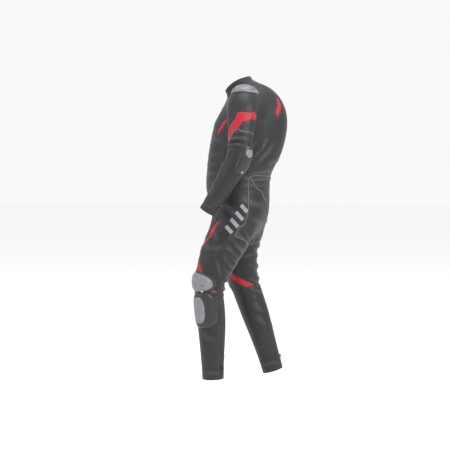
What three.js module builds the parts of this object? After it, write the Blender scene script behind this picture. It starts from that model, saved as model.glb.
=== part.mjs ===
// A one-piece motorcycle race suit, worn and standing in a slow stride, as an open garment.
// Millimetres, +Z up. The front faces -Y and the suit's left side is +X. Heights in the tables
// are above the ground; the finished group is lowered so that its origin lies between the shoulders.
//
// A smooth general figure is made from tubes, whose sections are in short tables. Blocks of points
// are laid over it and folded along the largest creases. Panels are cut from the blocks along rows
// and columns, and each gets a wall of its own with a narrow gap at its seams. Armour lies on them.
import * as THREE from "three";

const fit = 0.97; // the tables draw a tall size, and this suit is cut a little smaller
const wall = 2.4; // leather with its backing
const seamGap = 0.5; // left open between two panels
const shoulderHeight = 1500; // in the tables: the origin's height
const sides = { left: 1, right: -1 };

const V = (x, y, z) => new THREE.Vector3(x, y, z);
const rad = THREE.MathUtils.degToRad;
const lerp = THREE.MathUtils.lerp;

// The figure

// Level sections from the crotch to the neck: centre, half width, depth in front and behind.
const trunkRows = [
  { z: 872, y: -12, wide: 62, front: 62, back: 72 },
  { z: 905, y: -12, wide: 128, front: 106, back: 112 },
  { z: 955, y: -12, wide: 166, front: 134, back: 136 },
  { z: 1020, y: -12, wide: 178, front: 150, back: 141 },
  { z: 1085, y: -28, wide: 172, front: 162, back: 158 },
  { z: 1165, y: -28, wide: 160, front: 162, back: 158 },
  { z: 1220, y: -16, wide: 161, front: 168, back: 170 },
  { z: 1270, y: -4, wide: 165, front: 176, back: 176 },
  { z: 1345, y: 8, wide: 170, front: 174, back: 176 },
  { z: 1415, y: 12, wide: 168, front: 163, back: 176 },
  { z: 1485, y: 18, wide: 158, front: 134, back: 160 },
  { z: 1545, y: 22, wide: 122, front: 100, back: 126 },
  { z: 1590, y: 12, wide: 76, front: 70, back: 76 },
];
// Across the shoulders, round the neck, and the speed hump: half sizes to the sides, front and back.
const girdleRows = [
  { x: -196, y: 38, z: 1538, out: 64, in: 64, front: 74, back: 78 },
  { x: 0, y: 40, z: 1538, out: 60, in: 60, front: 70, back: 84 },
  { x: 196, y: 38, z: 1538, out: 64, in: 64, front: 74, back: 78 },
];
const neckRows = [
  { x: 0, y: 22, z: 1490, out: 74, in: 74, front: 70, back: 74 },
  { x: 0, y: -14, z: 1585, out: 68, in: 68, front: 68, back: 70 },
  { x: 0, y: -42, z: 1650, out: 66, in: 66, front: 66, back: 68 },
];
const humpRows = [
  { x: 0, y: 132, z: 1296, out: 66, in: 66, front: 60, back: 62 },
  { x: 0, y: 142, z: 1400, out: 92, in: 92, front: 66, back: 78 },
  { x: 0, y: 132, z: 1484, out: 96, in: 96, front: 66, back: 88 },
  { x: 0, y: 108, z: 1556, out: 84, in: 84, front: 60, back: 86 },
];
// Left arm; the right one is its mirror image.
const armRows = [
  { x: 120, y: 38, z: 1522, out: 76, in: 76, front: 80, back: 80 },
  { x: 182, y: 42, z: 1536, out: 78, in: 78, front: 84, back: 84 },
  { x: 224, y: 44, z: 1488, out: 70, in: 66, front: 80, back: 80 },
  { x: 242, y: 44, z: 1392, out: 60, in: 56, front: 70, back: 70 },
  { x: 256, y: 42, z: 1318, out: 57, in: 54, front: 64, back: 64 },
  { x: 266, y: 32, z: 1250, out: 57, in: 55, front: 64, back: 66 },
  { x: 269, y: -4, z: 1180, out: 54, in: 54, front: 56, back: 58 },
  { x: 267, y: -58, z: 1092, out: 48, in: 48, front: 50, back: 50 },
  { x: 263, y: -118, z: 995, out: 41, in: 41, front: 44, back: 44 },
];
// The legs stride: the left one is bent forward and the right one trails.
const legRows = {
  left: [
    { x: 88, y: -14, z: 990, out: 92, in: 78, front: 110, back: 116 },
    { x: 94, y: -40, z: 900, out: 98, in: 80, front: 112, back: 118 },
    { x: 106, y: -96, z: 778, out: 90, in: 82, front: 106, back: 104 },
    { x: 116, y: -134, z: 680, out: 80, in: 78, front: 88, back: 86 },
    { x: 120, y: -150, z: 606, out: 74, in: 74, front: 74, back: 76 },
    { x: 123, y: -143, z: 530, out: 70, in: 72, front: 74, back: 76 },
    { x: 127, y: -136, z: 440, out: 68, in: 70, front: 72, back: 78 },
    { x: 132, y: -130, z: 330, out: 60, in: 60, front: 64, back: 66 },
    { x: 136, y: -124, z: 160, out: 50, in: 50, front: 54, back: 54 },
  ],
  right: [
    { x: -88, y: -14, z: 990, out: 92, in: 78, front: 110, back: 116 },
    { x: -92, y: -26, z: 900, out: 98, in: 80, front: 110, back: 114 },
    { x: -98, y: -46, z: 790, out: 90, in: 82, front: 100, back: 100 },
    { x: -104, y: -34, z: 690, out: 80, in: 78, front: 88, back: 88 },
    { x: -110, y: -18, z: 608, out: 74, in: 74, front: 76, back: 76 },
    { x: -113, y: 8, z: 530, out: 70, in: 72, front: 74, back: 78 },
    { x: -117, y: 38, z: 440, out: 68, in: 70, front: 70, back: 78 },
    { x: -122, y: 76, z: 330, out: 59, in: 59, front: 62, back: 64 },
    { x: -128, y: 128, z: 160, out: 50, in: 50, front: 54, back: 54 },
  ],
};
const blend = { limb: 30, girdle: 46, neck: 30, hump: 52 }; // how softly the tubes run together

// A tube along a curve through its rows. out points away from the body, and front to the front.
class Tube {
  constructor(rows, mirror, steps = 36) {
    const sign = mirror ? -1 : 1;
    const centres = rows.map((r) => V(sign * r.x, r.y, r.z));
    const line = new THREE.CatmullRomCurve3(centres, false, "centripetal");
    this.outward = mirror || rows[0].x < 0 && rows.at(-1).x < 0 ? -1 : 1;
    this.stations = [];
    for (let i = 0; i <= steps; i++) {
      const t = i / steps;
      const at = t * (rows.length - 1);
      const k = Math.min(Math.floor(at), rows.length - 2);
      const share = at - k;
      const [a, b] = [rows[k], rows[k + 1]];
      const station = { centre: line.getPoint(t), along: line.getTangent(t) };
      for (const key of ["out", "in", "front", "back"]) station[key] = lerp(a[key], b[key], share);
      const fore = V(0, -1, 0).addScaledVector(station.along, station.along.y).normalize();
      station.fore = fore;
      station.side = fore.clone().cross(station.along).multiplyScalar(this.outward).normalize();
      this.stations.push(station);
    }
  }
  // The share of the length at which the centre line passes nearest to p.
  nearest(p) {
    let best = { d: Infinity };
    for (let i = 0; i + 1 < this.stations.length; i++) {
      const a = this.stations[i].centre;
      const b = this.stations[i + 1].centre;
      const [dx, dy, dz] = [b.x - a.x, b.y - a.y, b.z - a.z];
      const along = (p.x - a.x) * dx + (p.y - a.y) * dy + (p.z - a.z) * dz;
      const share = Math.min(1, Math.max(0, along / (dx * dx + dy * dy + dz * dz)));
      const [ex, ey, ez] = [p.x - a.x - dx * share, p.y - a.y - dy * share, p.z - a.z - dz * share];
      const d = ex * ex + ey * ey + ez * ez;
      if (d < best.d) best = { d, i, share };
    }
    return best;
  }
  station(i, share) {
    const [a, b] = [this.stations[i], this.stations[i + 1]];
    const made = {};
    for (const key of ["centre", "along", "fore", "side"]) made[key] = a[key].clone().lerp(b[key], share);
    for (const key of ["out", "in", "front", "back"]) made[key] = lerp(a[key], b[key], share);
    return made;
  }
  at(t) {
    const x = t * (this.stations.length - 1);
    const i = Math.min(Math.floor(x), this.stations.length - 2);
    return this.station(i, x - i);
  }
  // Roughly how far p lies outside the tube.
  depth(p) {
    const { i, share } = this.nearest(p);
    const s = this.station(i, share);
    const q = p.clone().sub(s.centre);
    const side = q.dot(s.side);
    const fore = q.dot(s.fore);
    const past = q.dot(s.along);
    const a = side > 0 ? s.out : s.in;
    const b = fore > 0 ? s.front : s.back;
    const r = Math.hypot(side / a, fore / b, past / Math.min(a, b));
    return r < 1e-3 ? -Math.min(a, b) : (1 - 1 / r) * q.length();
  }
}

// The trunk, whose sections stay level.
function trunkDepth(p) {
  const rows = trunkRows;
  const z = Math.min(rows.at(-1).z, Math.max(rows[0].z, p.z));
  const k = Math.max(0, rows.findIndex((r) => r.z >= z) - 1);
  const share = (z - rows[k].z) / (rows[k + 1].z - rows[k].z);
  const row = (i) => rows[THREE.MathUtils.clamp(i, 0, rows.length - 1)];
  const [a, b, c, d] = [row(k - 1), row(k), row(k + 1), row(k + 2)];
  const value = (key) => {
    const slopeB = (c[key] - a[key]) / (c.z - a.z || 1) * (c.z - b.z);
    const slopeC = (d[key] - b[key]) / (d.z - b.z || 1) * (c.z - b.z);
    const [t, u] = [share, 1 - share];
    const level = b[key] * (1 + 2 * t) * u * u + c[key] * t * t * (3 - 2 * t);
    return level + slopeB * t * u * u - slopeC * t * t * u;
  };
  const y = p.y - value("y");
  const [wide, deep] = [value("wide"), y < 0 ? value("front") : value("back")];
  const full = 2.15;
  const shares = [p.x / wide, y / deep, (p.z - z) / 40].map((x) => Math.abs(x) ** full);
  const r = shares.reduce((sum, x) => sum + x) ** (1 / full);
  return r < 1e-3 ? -Math.min(wide, deep) : (1 - 1 / r) * Math.hypot(p.x, y, p.z - z);
}

function soft(a, b, k) {
  const h = Math.max(k - Math.abs(a - b), 0) / k;
  return Math.min(a, b) - h * h * k / 4;
}

const girdle = new Tube(girdleRows);
const neck = new Tube(neckRows);
const hump = new Tube(humpRows);
const arms = { left: new Tube(armRows), right: new Tube(armRows, true) };
const legs = { left: new Tube(legRows.left), right: new Tube(legRows.right) };

const bodyDepth = (p) => {
  const top = soft(trunkDepth(p), girdle.depth(p), blend.girdle);
  return soft(soft(top, neck.depth(p), blend.neck), hump.depth(p), blend.hump);
};
const upperDepth = (p) => soft(bodyDepth(p), arms[p.x > 0 ? "left" : "right"].depth(p), blend.limb);
const pelvisDepth = (p) => {
  const both = soft(legs.left.depth(p), legs.right.depth(p), blend.limb);
  return soft(trunkDepth(p), both, blend.limb);
};
const legDepth = (side) => (p) => soft(trunkDepth(p), legs[side].depth(p), blend.limb);

// Where a ray from inside the figure comes out.
function cast(from, direction, field, reach = 340, step = 5) {
  let [near, far] = [0, 0];
  const p = V();
  while (far < reach) {
    far += step;
    if (field(p.copy(from).addScaledVector(direction, far)) > 0) break;
    near = far;
  }
  for (let i = 0; i < 14; i++) {
    const middle = (near + far) / 2;
    if (field(p.copy(from).addScaledVector(direction, middle)) > 0) far = middle;
    else near = middle;
  }
  return from.clone().addScaledVector(direction, near);
}

// Moves a point to the surface along the field's slope.
function settle(p, field, turns = 7) {
  const h = 1.5;
  const q = p.clone();
  for (let i = 0; i < turns; i++) {
    const f = field(q);
    const slope = V(
      field(q.clone().add(V(h, 0, 0))) - f,
      field(q.clone().add(V(0, h, 0))) - f,
      field(q.clone().add(V(0, 0, h))) - f,
    ).divideScalar(h);
    const size = Math.max(slope.lengthSq(), 0.2);
    q.addScaledVector(slope, -THREE.MathUtils.clamp(f / size, -18, 18));
  }
  return q;
}

// Blocks of points over the figure. Neighbouring blocks share the points of their seam.

const points = [];
const faces = []; // { corners: three or four point numbers, turning to the outside, panel }
const add = (p) => points.push(p) - 1;
const at = (i) => points[i];

// name gives a cell's panel, or [low, high, corner] where a seam cuts the cell into two triangles:
// high is the panel at the given corner.
function quads(grid, name, flip = false) {
  const turned = (corners) => (flip ? corners.reverse() : corners);
  for (let r = 0; r + 1 < grid.length; r++)
    for (let c = 0; c + 1 < grid[r].length; c++) {
      const corners = [grid[r][c], grid[r][c + 1], grid[r + 1][c + 1], grid[r + 1][c]];
      const panel = name(r, c);
      if (typeof panel === "string") faces.push({ corners: turned(corners), panel });
      else {
        const [low, high, k] = panel;
        const pick = (...list) => turned(list.map((i) => corners[(k + i) % 4]));
        faces.push({ corners: pick(3, 0, 1), panel: high }, { corners: pick(1, 2, 3), panel: low });
      }
    }
}

// A block between four edges that already have their points: rows run from bottom to top.
function fill(bottom, top, left, right, field) {
  const [n, m] = [left.length - 1, bottom.length - 1];
  const grid = left.map((id, r) => bottom.map((_, c) => (c === 0 ? left[r] : c === m ? right[r] : null)));
  grid[0] = [...bottom];
  grid[n] = [...top];
  for (let r = 1; r < n; r++)
    for (let c = 1; c < m; c++) {
      const [u, v] = [c / m, r / n];
      const p = V();
      const part = (id, w) => p.addScaledVector(at(id), w);
      part(left[r], 1 - u);
      part(right[r], u);
      part(bottom[c], 1 - v);
      part(top[c], v);
      part(bottom[0], -(1 - u) * (1 - v));
      part(bottom[m], -u * (1 - v));
      part(top[0], -(1 - u) * v);
      part(top[m], -u * v);
      grid[r][c] = add(settle(p, field));
    }
  return grid;
}

// A row of points on the surface from one point to another, without its two ends.
function between(a, b, count, field, bow = V()) {
  const made = [];
  for (let i = 1; i < count; i++) {
    const t = i / count;
    made.push(add(settle(at(a).clone().lerp(at(b), t).addScaledVector(bow, 4 * t * (1 - t)), field)));
  }
  return made;
}

// Half rings run from the centre front to the centre back: a strip beside the zip, then the rest.
const half = { all: 18, front: 7, back: 11 }; // columns, and where the armhole's corners stand
const armholeSteps = { bottom: 4, rise: 6 };
const neckColumns = 4; // from the centre front to the shoulder seam

// The waist seam, which hangs a little lower in front.
const waist = { centre: V(0, -28, 1160), drop: 0.06, zipStrip: 9 };
function ringWaist(h, sign) {
  const turn = h === 0 ? 0 : h === half.all ? 180
    : waist.zipStrip + (h - 1) * (180 - 2 * waist.zipStrip) / (half.all - 2);
  const direction = V(sign * Math.sin(rad(turn)), -Math.cos(rad(turn)), -waist.drop * Math.cos(rad(turn)));
  return cast(waist.centre, direction.normalize(), bodyDepth);
}
const waistIds = {};
for (const [side, sign] of Object.entries(sides)) {
  waistIds[side] = [];
  for (let h = 0; h <= half.all; h++)
    waistIds[side][h] = side === "right" && (h === 0 || h === half.all)
      ? waistIds.left[h] : add(ringWaist(h, sign));
}

// The armhole: from its front corner under the arm, up the back and down the front.
const armhole = { centre: V(178, 36, 1487), corner: 46 };
const armholeIds = {};
function armholeTurn(a) {
  const { bottom, rise } = armholeSteps;
  if (a <= bottom) return lerp(-armhole.corner, armhole.corner, a / bottom);
  return armhole.corner + (a - bottom) * (360 - 2 * armhole.corner) / (2 * rise);
}
for (const [side, sign] of Object.entries(sides)) {
  const centre = armhole.centre.clone().multiply(V(sign, 1, 1));
  const down = V(sign * 0.071, 0, -0.9975);
  armholeIds[side] = [];
  for (let a = 0; a < armholeSteps.bottom + 2 * armholeSteps.rise; a++) {
    const direction = down.clone().multiplyScalar(Math.cos(rad(armholeTurn(a))));
    direction.y += Math.sin(rad(armholeTurn(a)));
    armholeIds[side].push(add(cast(centre, direction, upperDepth)));
  }
}
const armholeAt = (side, a) => armholeIds[side][a % armholeIds[side].length];
const armholeTop = armholeSteps.bottom + armholeSteps.rise;

// The chest row joins the two armholes at the front and at the back.
const chestRow = { front: 1408, back: 1408, strip: 27 };
const chestIds = { left: [], right: [] };
function onBody(x, y, z) {
  return settle(V(x, y, z), upperDepth);
}
const chestEnds = {
  front: add(cast(V(0, 10, chestRow.front), V(0, -1, 0), bodyDepth)),
  back: add(cast(V(0, 10, chestRow.back), V(0, 1, 0), bodyDepth)),
};
for (const [side, sign] of Object.entries(sides)) {
  const ids = chestIds[side];
  ids[0] = chestEnds.front;
  ids[half.all] = chestEnds.back;
  for (let a = 0; a <= armholeSteps.bottom; a++) ids[half.front + a] = armholeAt(side, a);
  for (const [end, first, step] of [["front", 0, 1], ["back", half.all, -1]]) {
    const middle = at(chestEnds[end]);
    ids[first + step] = add(onBody(sign * chestRow.strip, middle.y, middle.z));
    const inner = ids[first + step];
    const bow = V(sign * 14, end === "front" ? -16 : 16, 0);
    const rest = between(inner, ids[half[end]], Math.abs(half[end] - first) - 1, upperDepth, bow);
    rest.forEach((id, i) => { ids[first + step * (i + 2)] = id; });
  }
}

// The lower body, from the waist seam to the chest row.
const lowerRows = 7;
const lowerGrid = {};
for (const side of Object.keys(sides)) {
  const columns = waistIds[side].map((id, h) => {
    if (side === "right" && (h === 0 || h === half.all)) return lowerGrid.left.map((row) => row[h]);
    return [id, ...between(id, chestIds[side][h], lowerRows, upperDepth), chestIds[side][h]];
  });
  lowerGrid[side] = columns[0].map((_, r) => columns.map((column) => column[r]));
}

// The neck seam, which the collar stands on.
const neckRing = { centre: V(0, -13, 1584), wide: 75, long: 68, slope: 36, lean: 27, count: 16 };
const neckIds = [];
for (let i = 0; i < neckRing.count; i++) {
  const turn = rad(i * 360 / neckRing.count);
  const [across, fore] = [Math.sin(turn), Math.cos(turn)];
  const p = V(neckRing.wide * across, -neckRing.long * fore, -neckRing.slope * fore);
  neckIds.push(add(settle(p.add(neckRing.centre), bodyDepth)));
}
const neckAt = (i) => neckIds[(i + neckRing.count) % neckRing.count];

// Shoulder seams, and the front and back above the chest row.
const shoulderColumns = half.front - neckColumns;
const shoulderIds = {};
for (const [side, sign] of Object.entries(sides)) {
  const [top, collar] = [armholeAt(side, armholeTop), neckAt(sign * neckColumns)];
  shoulderIds[side] = [top, ...between(top, collar, shoulderColumns, upperDepth, V(0, 0, 6)), collar];
}
const armholeEdge = (side, from, step) =>
  Array.from({ length: armholeSteps.rise + 1 }, (_, r) => armholeAt(side, from + step * r));
const armholeCount = armholeIds.left.length;
const frontBlock = fill(
  [...chestIds.right.slice(0, half.front + 1).reverse(), ...chestIds.left.slice(1, half.front + 1)],
  [...shoulderIds.right, ...[-3, -2, -1, 0, 1, 2, 3].map(neckAt), ...[...shoulderIds.left].reverse()],
  armholeEdge("right", armholeCount, -1), armholeEdge("left", armholeCount, -1), upperDepth,
);
const backBlock = fill(
  [...chestIds.left.slice(half.back), ...chestIds.right.slice(half.back, half.all).reverse()],
  [...shoulderIds.left, ...[5, 6, 7, 8, 9, 10, 11].map(neckAt), ...[...shoulderIds.right].reverse()],
  armholeEdge("left", armholeSteps.bottom, 1), armholeEdge("right", armholeSteps.bottom, 1), upperDepth,
);

// The collar band.
const collar = { rise: 19, rows: 2, close: [0.925, 0.91] }; // each ring's size against the seam's
const collarGrid = [neckIds.concat(neckIds[0])];
for (let r = 1; r <= collar.rows; r++) {
  const up = V(0, -Math.sin(rad(neckRing.lean)), Math.cos(rad(neckRing.lean)));
  const ring = neckIds.map((id) => {
    const out = at(id).clone().sub(neckRing.centre).multiplyScalar(collar.close[r - 1] - 1);
    return add(at(id).clone().addScaledVector(up, collar.rise * r).add(out));
  });
  collarGrid.push(ring.concat(ring[0]));
}

// The crotch gusset runs from the front to the back between the legs.
const gusset = { half: 11, centre: V(0, -12, 905), turns: [28, 56, 90, 124, 152] };
const gussetSide = (side) => gusset.turns.map((turn) => {
  const from = gusset.centre.clone().setX((sides[side] ?? 0) * gusset.half);
  return add(cast(from, V(0, -Math.cos(rad(turn)), -Math.sin(rad(turn))), pelvisDepth));
});
const gussetIds = { left: gussetSide("left"), middle: gussetSide("middle"), right: gussetSide("right") };
const gussetGrid = gussetIds.middle.map((id, i) => [gussetIds.right[i], id, gussetIds.left[i]]);

// Legs: a fan of rings from the hip crease, each given by its heights at the inner and the outer
// side, then level rings that turn with the leg.
const legSteps = { outer: 16, inner: 4, first: -50, firstAtHip: -30, fan: 6 };
const slantRings = [[850, 988], [826, 955], [819, 923], [812, 891], [807, 860], [802, 829], [797, 799]];
const levelRings = [
  778, 757, 736, 715, 694, 674, 655, 636, 617, 598, 579,
  556, 528, 497, 463, 426, 386, 340, 285, 225, 168,
];
const legRings = [
  ...slantRings.map(([inner, outer]) => ({ inner, outer })),
  ...levelRings.map((z) => ({ inner: z, outer: z })),
];
const legCount = legSteps.outer + legSteps.inner;
const stationAtHeight = (tube, z) => {
  const list = tube.stations;
  const i = Math.max(0, Math.min(list.length - 2, list.findIndex((s) => s.centre.z < z) - 1));
  const [a, b] = [list[i].centre.z, list[i + 1].centre.z];
  return tube.station(i, (a - z) / (a - b));
};
function legRing(side, r) {
  const { inner, outer } = legRings[r];
  const s = stationAtHeight(legs[side], (inner + outer) / 2);
  const swing = Math.min(1, r / legSteps.fan);
  const down = V(0, 0, -1).lerp(s.along, swing).normalize();
  const fore = V(0, -1, 0).addScaledVector(down, down.y).normalize();
  const tilt = Math.atan2(outer - inner, s.out + s.in);
  const outward = fore.clone().cross(down).multiplyScalar(sides[side] * Math.cos(tilt));
  outward.addScaledVector(down, -Math.sin(tilt)).normalize();
  const first = lerp(legSteps.firstAtHip, legSteps.first, swing);
  const ids = [];
  for (let k = 0; k < legCount; k++) {
    const innerSide = k > legSteps.outer;
    const turn = innerSide
      ? lerp(180 - first, 360 + first, (k - legSteps.outer) / legSteps.inner)
      : lerp(first, 180 - first, k / legSteps.outer);
    const direction = fore.clone().multiplyScalar(Math.cos(rad(turn)));
    direction.addScaledVector(outward, Math.sin(rad(turn)));
    const whole = r === 0 ? pelvisDepth : legDepth(side);
    const field = innerSide ? (p) => legs[side].depth(p) : whole;
    const onGusset = r === 0 && (k === 0 || k >= legSteps.outer);
    const gussetId = gussetIds[side][(legCount - k) % legCount];
    ids.push(onGusset ? gussetId : add(cast(s.centre, direction, field, 190)));
  }
  return ids.concat(ids[0]);
}
const legGrid = {};
for (const side of Object.keys(sides)) legGrid[side] = legRings.map((_, r) => legRing(side, r));

// The hips, from the waist seam down to the hip creases and the gusset.
const hipRows = 7;
const hipGrid = {};
for (const side of Object.keys(sides)) {
  const low = [gussetIds.middle[0], ...legGrid[side][0].slice(0, legSteps.outer + 1), gussetIds.middle.at(-1)];
  const columns = low.map((id, h) => {
    if (side === "right" && (h === 0 || h === half.all)) return hipGrid.left.map((row) => row[h]);
    const bow = V(sides[side] * 18 * Math.sin(Math.PI * h / half.all), h < half.all / 2 ? -14 : 14, 0);
    return [id, ...between(id, waistIds[side][h], hipRows, pelvisDepth, bow), waistIds[side][h]];
  });
  hipGrid[side] = columns[0].map((_, r) => columns.map((column) => column[r]));
}

// Sleeves: a fan of rings that turns from the armhole to the arm, then rings across the arm.
const fan = { pivot: V(180, 37, 1366), turns: 80, rings: 5, reach: [118, 64] };
const sleeveRings = [1312, 1290, 1268, 1246, 1222, 1196, 1168, 1138, 1108, 1078, 1050, 1024, 1000];
const sleeveGrid = {};
for (const [side, sign] of Object.entries(sides)) {
  const tube = arms[side];
  const nearArm = (p) => soft(bodyDepth(p), tube.depth(p), blend.limb);
  const ringOf = (centre, down) => armholeIds[side].map((_, a) => {
    const turn = rad(armholeTurn(a));
    const back = V(0, 1, 0).addScaledVector(down, -down.y).normalize();
    const direction = down.clone().multiplyScalar(Math.cos(turn)).addScaledVector(back, Math.sin(turn));
    return add(cast(centre, direction, nearArm, 200));
  });
  const rings = [armholeIds[side]];
  for (let i = 1; i <= fan.rings; i++) {
    const t = i / fan.rings;
    const a = rad(fan.turns * t);
    const up = V(sign * Math.sin(a), 0, Math.cos(a));
    const centre = fan.pivot.clone().multiply(V(sign, 1, 1));
    centre.addScaledVector(up, lerp(...fan.reach, t));
    rings.push(ringOf(centre, up.clone().negate()));
  }
  for (const z of sleeveRings) {
    const s = stationAtHeight(tube, z);
    rings.push(armholeIds[side].map((_, a) => {
      const turn = rad(armholeTurn(a));
      const direction = s.side.clone().multiplyScalar(-Math.cos(turn));
      direction.addScaledVector(s.fore, -Math.sin(turn));
      return add(cast(s.centre, direction, (p) => tube.depth(p), 120));
    }));
  }
  sleeveGrid[side] = rings.map((ids) => ids.concat(ids[0]));
}

// Which panel each face belongs to

// Seams that slant down the thigh: the column at which each row line crosses them.
const thighSeams = {
  front: [6, 6, 5, 5, 5, 4, 4, 4, 3, 3, 3, 3, 3, 3, 3, 3, 3],
  back: [11, 11, 10, 10, 9, 9, 8, 8, 7, 7, 6, 6, 6, 6, 6, 6, 6],
};
const thighStripe = { from: 1, to: 6 }; // rows, just behind the front seam
// The yoke's lower seam, as the row line at each column from the side to the centre back.
const yokeSeam = { 12: 7, 13: 6, 14: 5, 15: 5, 16: 4, 17: 4, 18: 3 };
// Red bands as the row lines at which each column enters and leaves them.
const kneeBand = {
  enter: [11, 10, 10, 10, 10, 10, 11, 12, 13, 14, 15, 16, 16, 16, 16, 16, 15, 14, 13, 12, 11],
  leave: [13, 12, 11, 11, 11, 12, 13, 14, 15, 16, 16, 16, 16, 16, 16, 16, 16, 16, 15, 14, 13],
};
const sleeveBand = {
  enter: [9, 9, 9, 9, 9, 9, 2, 2, 3, 3, 3, 4, 4, 5, 5],
  leave: [9, 9, 9, 9, 9, 9, 3, 3, 4, 4, 5, 5, 6, 6, 7],
  from: 6,
  to: 14,
};
// Red flashes as the columns between which they lie at each row line.
const chestFlash = { lower: { 5: [4, 4], 6: [4, 5], 7: [5, 6] }, upper: { 0: [5, 6], 1: [6, 6] } };
const backFlash = { 1: [15, 15], 2: [15, 16], 3: [16, 17], 4: [17, 17] };

// The panel of a cell beside a seam that leaves one side of the cell at the row line near and the
// other at far, or beside one that crosses its lower row line at here and its upper one at next.
function across(r, near, far, below, above) {
  if (r < Math.min(near, far)) return below;
  if (r >= Math.max(near, far)) return above;
  return near < far ? [below, above, 3] : [below, above, 2];
}
function along(c, here, next, left, right) {
  if (c < Math.min(here, next)) return left;
  if (c >= Math.max(here, next)) return right;
  return here < next ? [right, left, 3] : [right, left, 0];
}
function band(r, c, { enter, leave }, below, name, above) {
  const first = across(r, enter[c], enter[c + 1], below, name);
  return first === name ? across(r, leave[c], leave[c + 1], name, above) : first;
}
function flash(r, c, lines, name, rest) {
  const [here, next] = [lines[r], lines[r + 1]];
  if (!here || !next) return rest;
  const first = along(c, here[0], next[0], rest, name);
  return first === name ? along(c, here[1], next[1], name, rest) : first;
}

for (const side of Object.keys(sides)) {
  const flip = side === "right";
  const bodyPanel = (r, h) => {
    if (h < 1) return "front_placket";
    if (r < 1) return "waist_band";
    if (h < 7) return flash(r, h, chestFlash.lower, `chest_flash_${side}`, `front_${side}`);
    return h < 13 ? `side_${side}` : "back";
  };
  quads(lowerGrid[side], bodyPanel, flip);
  const front = frontBlock.map((row) => flip ? row.slice(0, 8).reverse() : row.slice(7));
  const frontPanel = (r, h) =>
    h < 1 ? "front_placket" : flash(r, h, chestFlash.upper, `chest_flash_${side}`, `front_${side}`);
  quads(front, frontPanel, flip);
  const back = backBlock.map((row) => flip ? row.slice(7).reverse() : row.slice(0, 8));
  quads(back, (r, c) => flash(r, c + half.back, backFlash, `back_flash_${side}`, "back"), flip);

  const hipPanel = (r, h) => {
    if (h < 1) return r < 2 ? "gusset" : "front_placket";
    if (h < 7) return `thigh_front_${side}`;
    if (h < 12) return `thigh_side_${side}`;
    return across(r, yokeSeam[h], yokeSeam[h + 1], `seat_${side}`, "back_yoke");
  };
  quads(hipGrid[side], hipPanel, flip);
  const thighPanel = (r, k) => {
    if (k >= 18) return `thigh_front_${side}`;
    const [a, b] = [thighSeams.front[r], thighSeams.front[r + 1]];
    const stripe = r >= thighStripe.from && r < thighStripe.to;
    const beside = stripe ? `thigh_stripe_${side}` : `thigh_side_${side}`;
    const first = along(k, a, b, `thigh_front_${side}`, beside);
    if (first !== beside) return first;
    if (stripe && k <= a) {
      const second = along(k, a + 1, b + 1, beside, `thigh_side_${side}`);
      if (second !== `thigh_side_${side}`) return second;
    }
    const rear = r < 3 && k < 16 ? `seat_${side}` : `thigh_back_${side}`;
    return along(k, thighSeams.back[r], thighSeams.back[r + 1], `thigh_side_${side}`, rear);
  };
  const legPanel = (r, k) => {
    const front = k < 7 || k > 18;
    const shin = k >= 11 && k < 13 ? `calf_${side}` : `shin_${side}`;
    const lower = r < 18 && front ? `knee_${side}` : shin;
    const upper = r < 16 ? thighPanel(r, k) : lower;
    return band(r, k, kneeBand, upper, `knee_band_${side}`, lower);
  };
  quads(legGrid[side], legPanel, !flip);
  const sleevePanel = (r, a) => {
    if (r >= 16) return `cuff_${side}`;
    const plain = r < 5
      ? (a < 4 ? `sleeve_inner_${side}` : `sleeve_cap_${side}`)
      : (a < 5 || a > 13 ? `sleeve_inner_${side}` : `sleeve_outer_${side}`);
    const banded = a >= sleeveBand.from && a < sleeveBand.to;
    return banded ? band(r, a, sleeveBand, plain, `sleeve_band_${side}`, plain) : plain;
  };
  quads(sleeveGrid[side], sleevePanel, flip);
}
quads(collarGrid, () => "collar");
quads(gussetGrid, () => "gusset", true);

// Eases every point towards the middle of its neighbours, but for those on the open edges. The
// turns that ease it away again keep the suit's size.
const easeTurns = [0.5, 0.5, -0.42, 0.5, -0.42, 0.5, -0.42, 0.5, -0.42, 0.5];
const edgeKey = (a, b) => `${Math.min(a, b)}_${Math.max(a, b)}`;
function easePoints() {
  const uses = new Map();
  for (const { corners } of faces)
    corners.forEach((a, i) => {
      const key = edgeKey(a, corners[(i + 1) % corners.length]);
      uses.set(key, (uses.get(key) ?? 0) + 1);
    });
  const neighbours = points.map(() => []);
  const open = new Set();
  for (const [key, count] of uses) {
    const [a, b] = key.split("_").map(Number);
    neighbours[a].push(b);
    neighbours[b].push(a);
    if (count === 1) open.add(a).add(b);
  }
  for (const share of easeTurns) {
    const middleOf = (list) => list.reduce((sum, i) => sum.add(at(i)), V()).divideScalar(list.length);
    const middles = neighbours.map(middleOf);
    points.forEach((p, i) => { if (!open.has(i)) p.lerp(middles[i], share); });
  }
}
easePoints();

// Normals of the whole cloth, so that neighbouring panels stay in line at their seams.
function normalsOf(list) {
  const normals = points.map(() => V());
  for (const { corners } of list) {
    const [a, b, c, d = a] = corners.map(at);
    const n = c.clone().sub(a).cross(d.clone().sub(b));
    for (const i of corners) normals[i].add(n);
  }
  return normals.map((n) => n.normalize());
}

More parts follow.
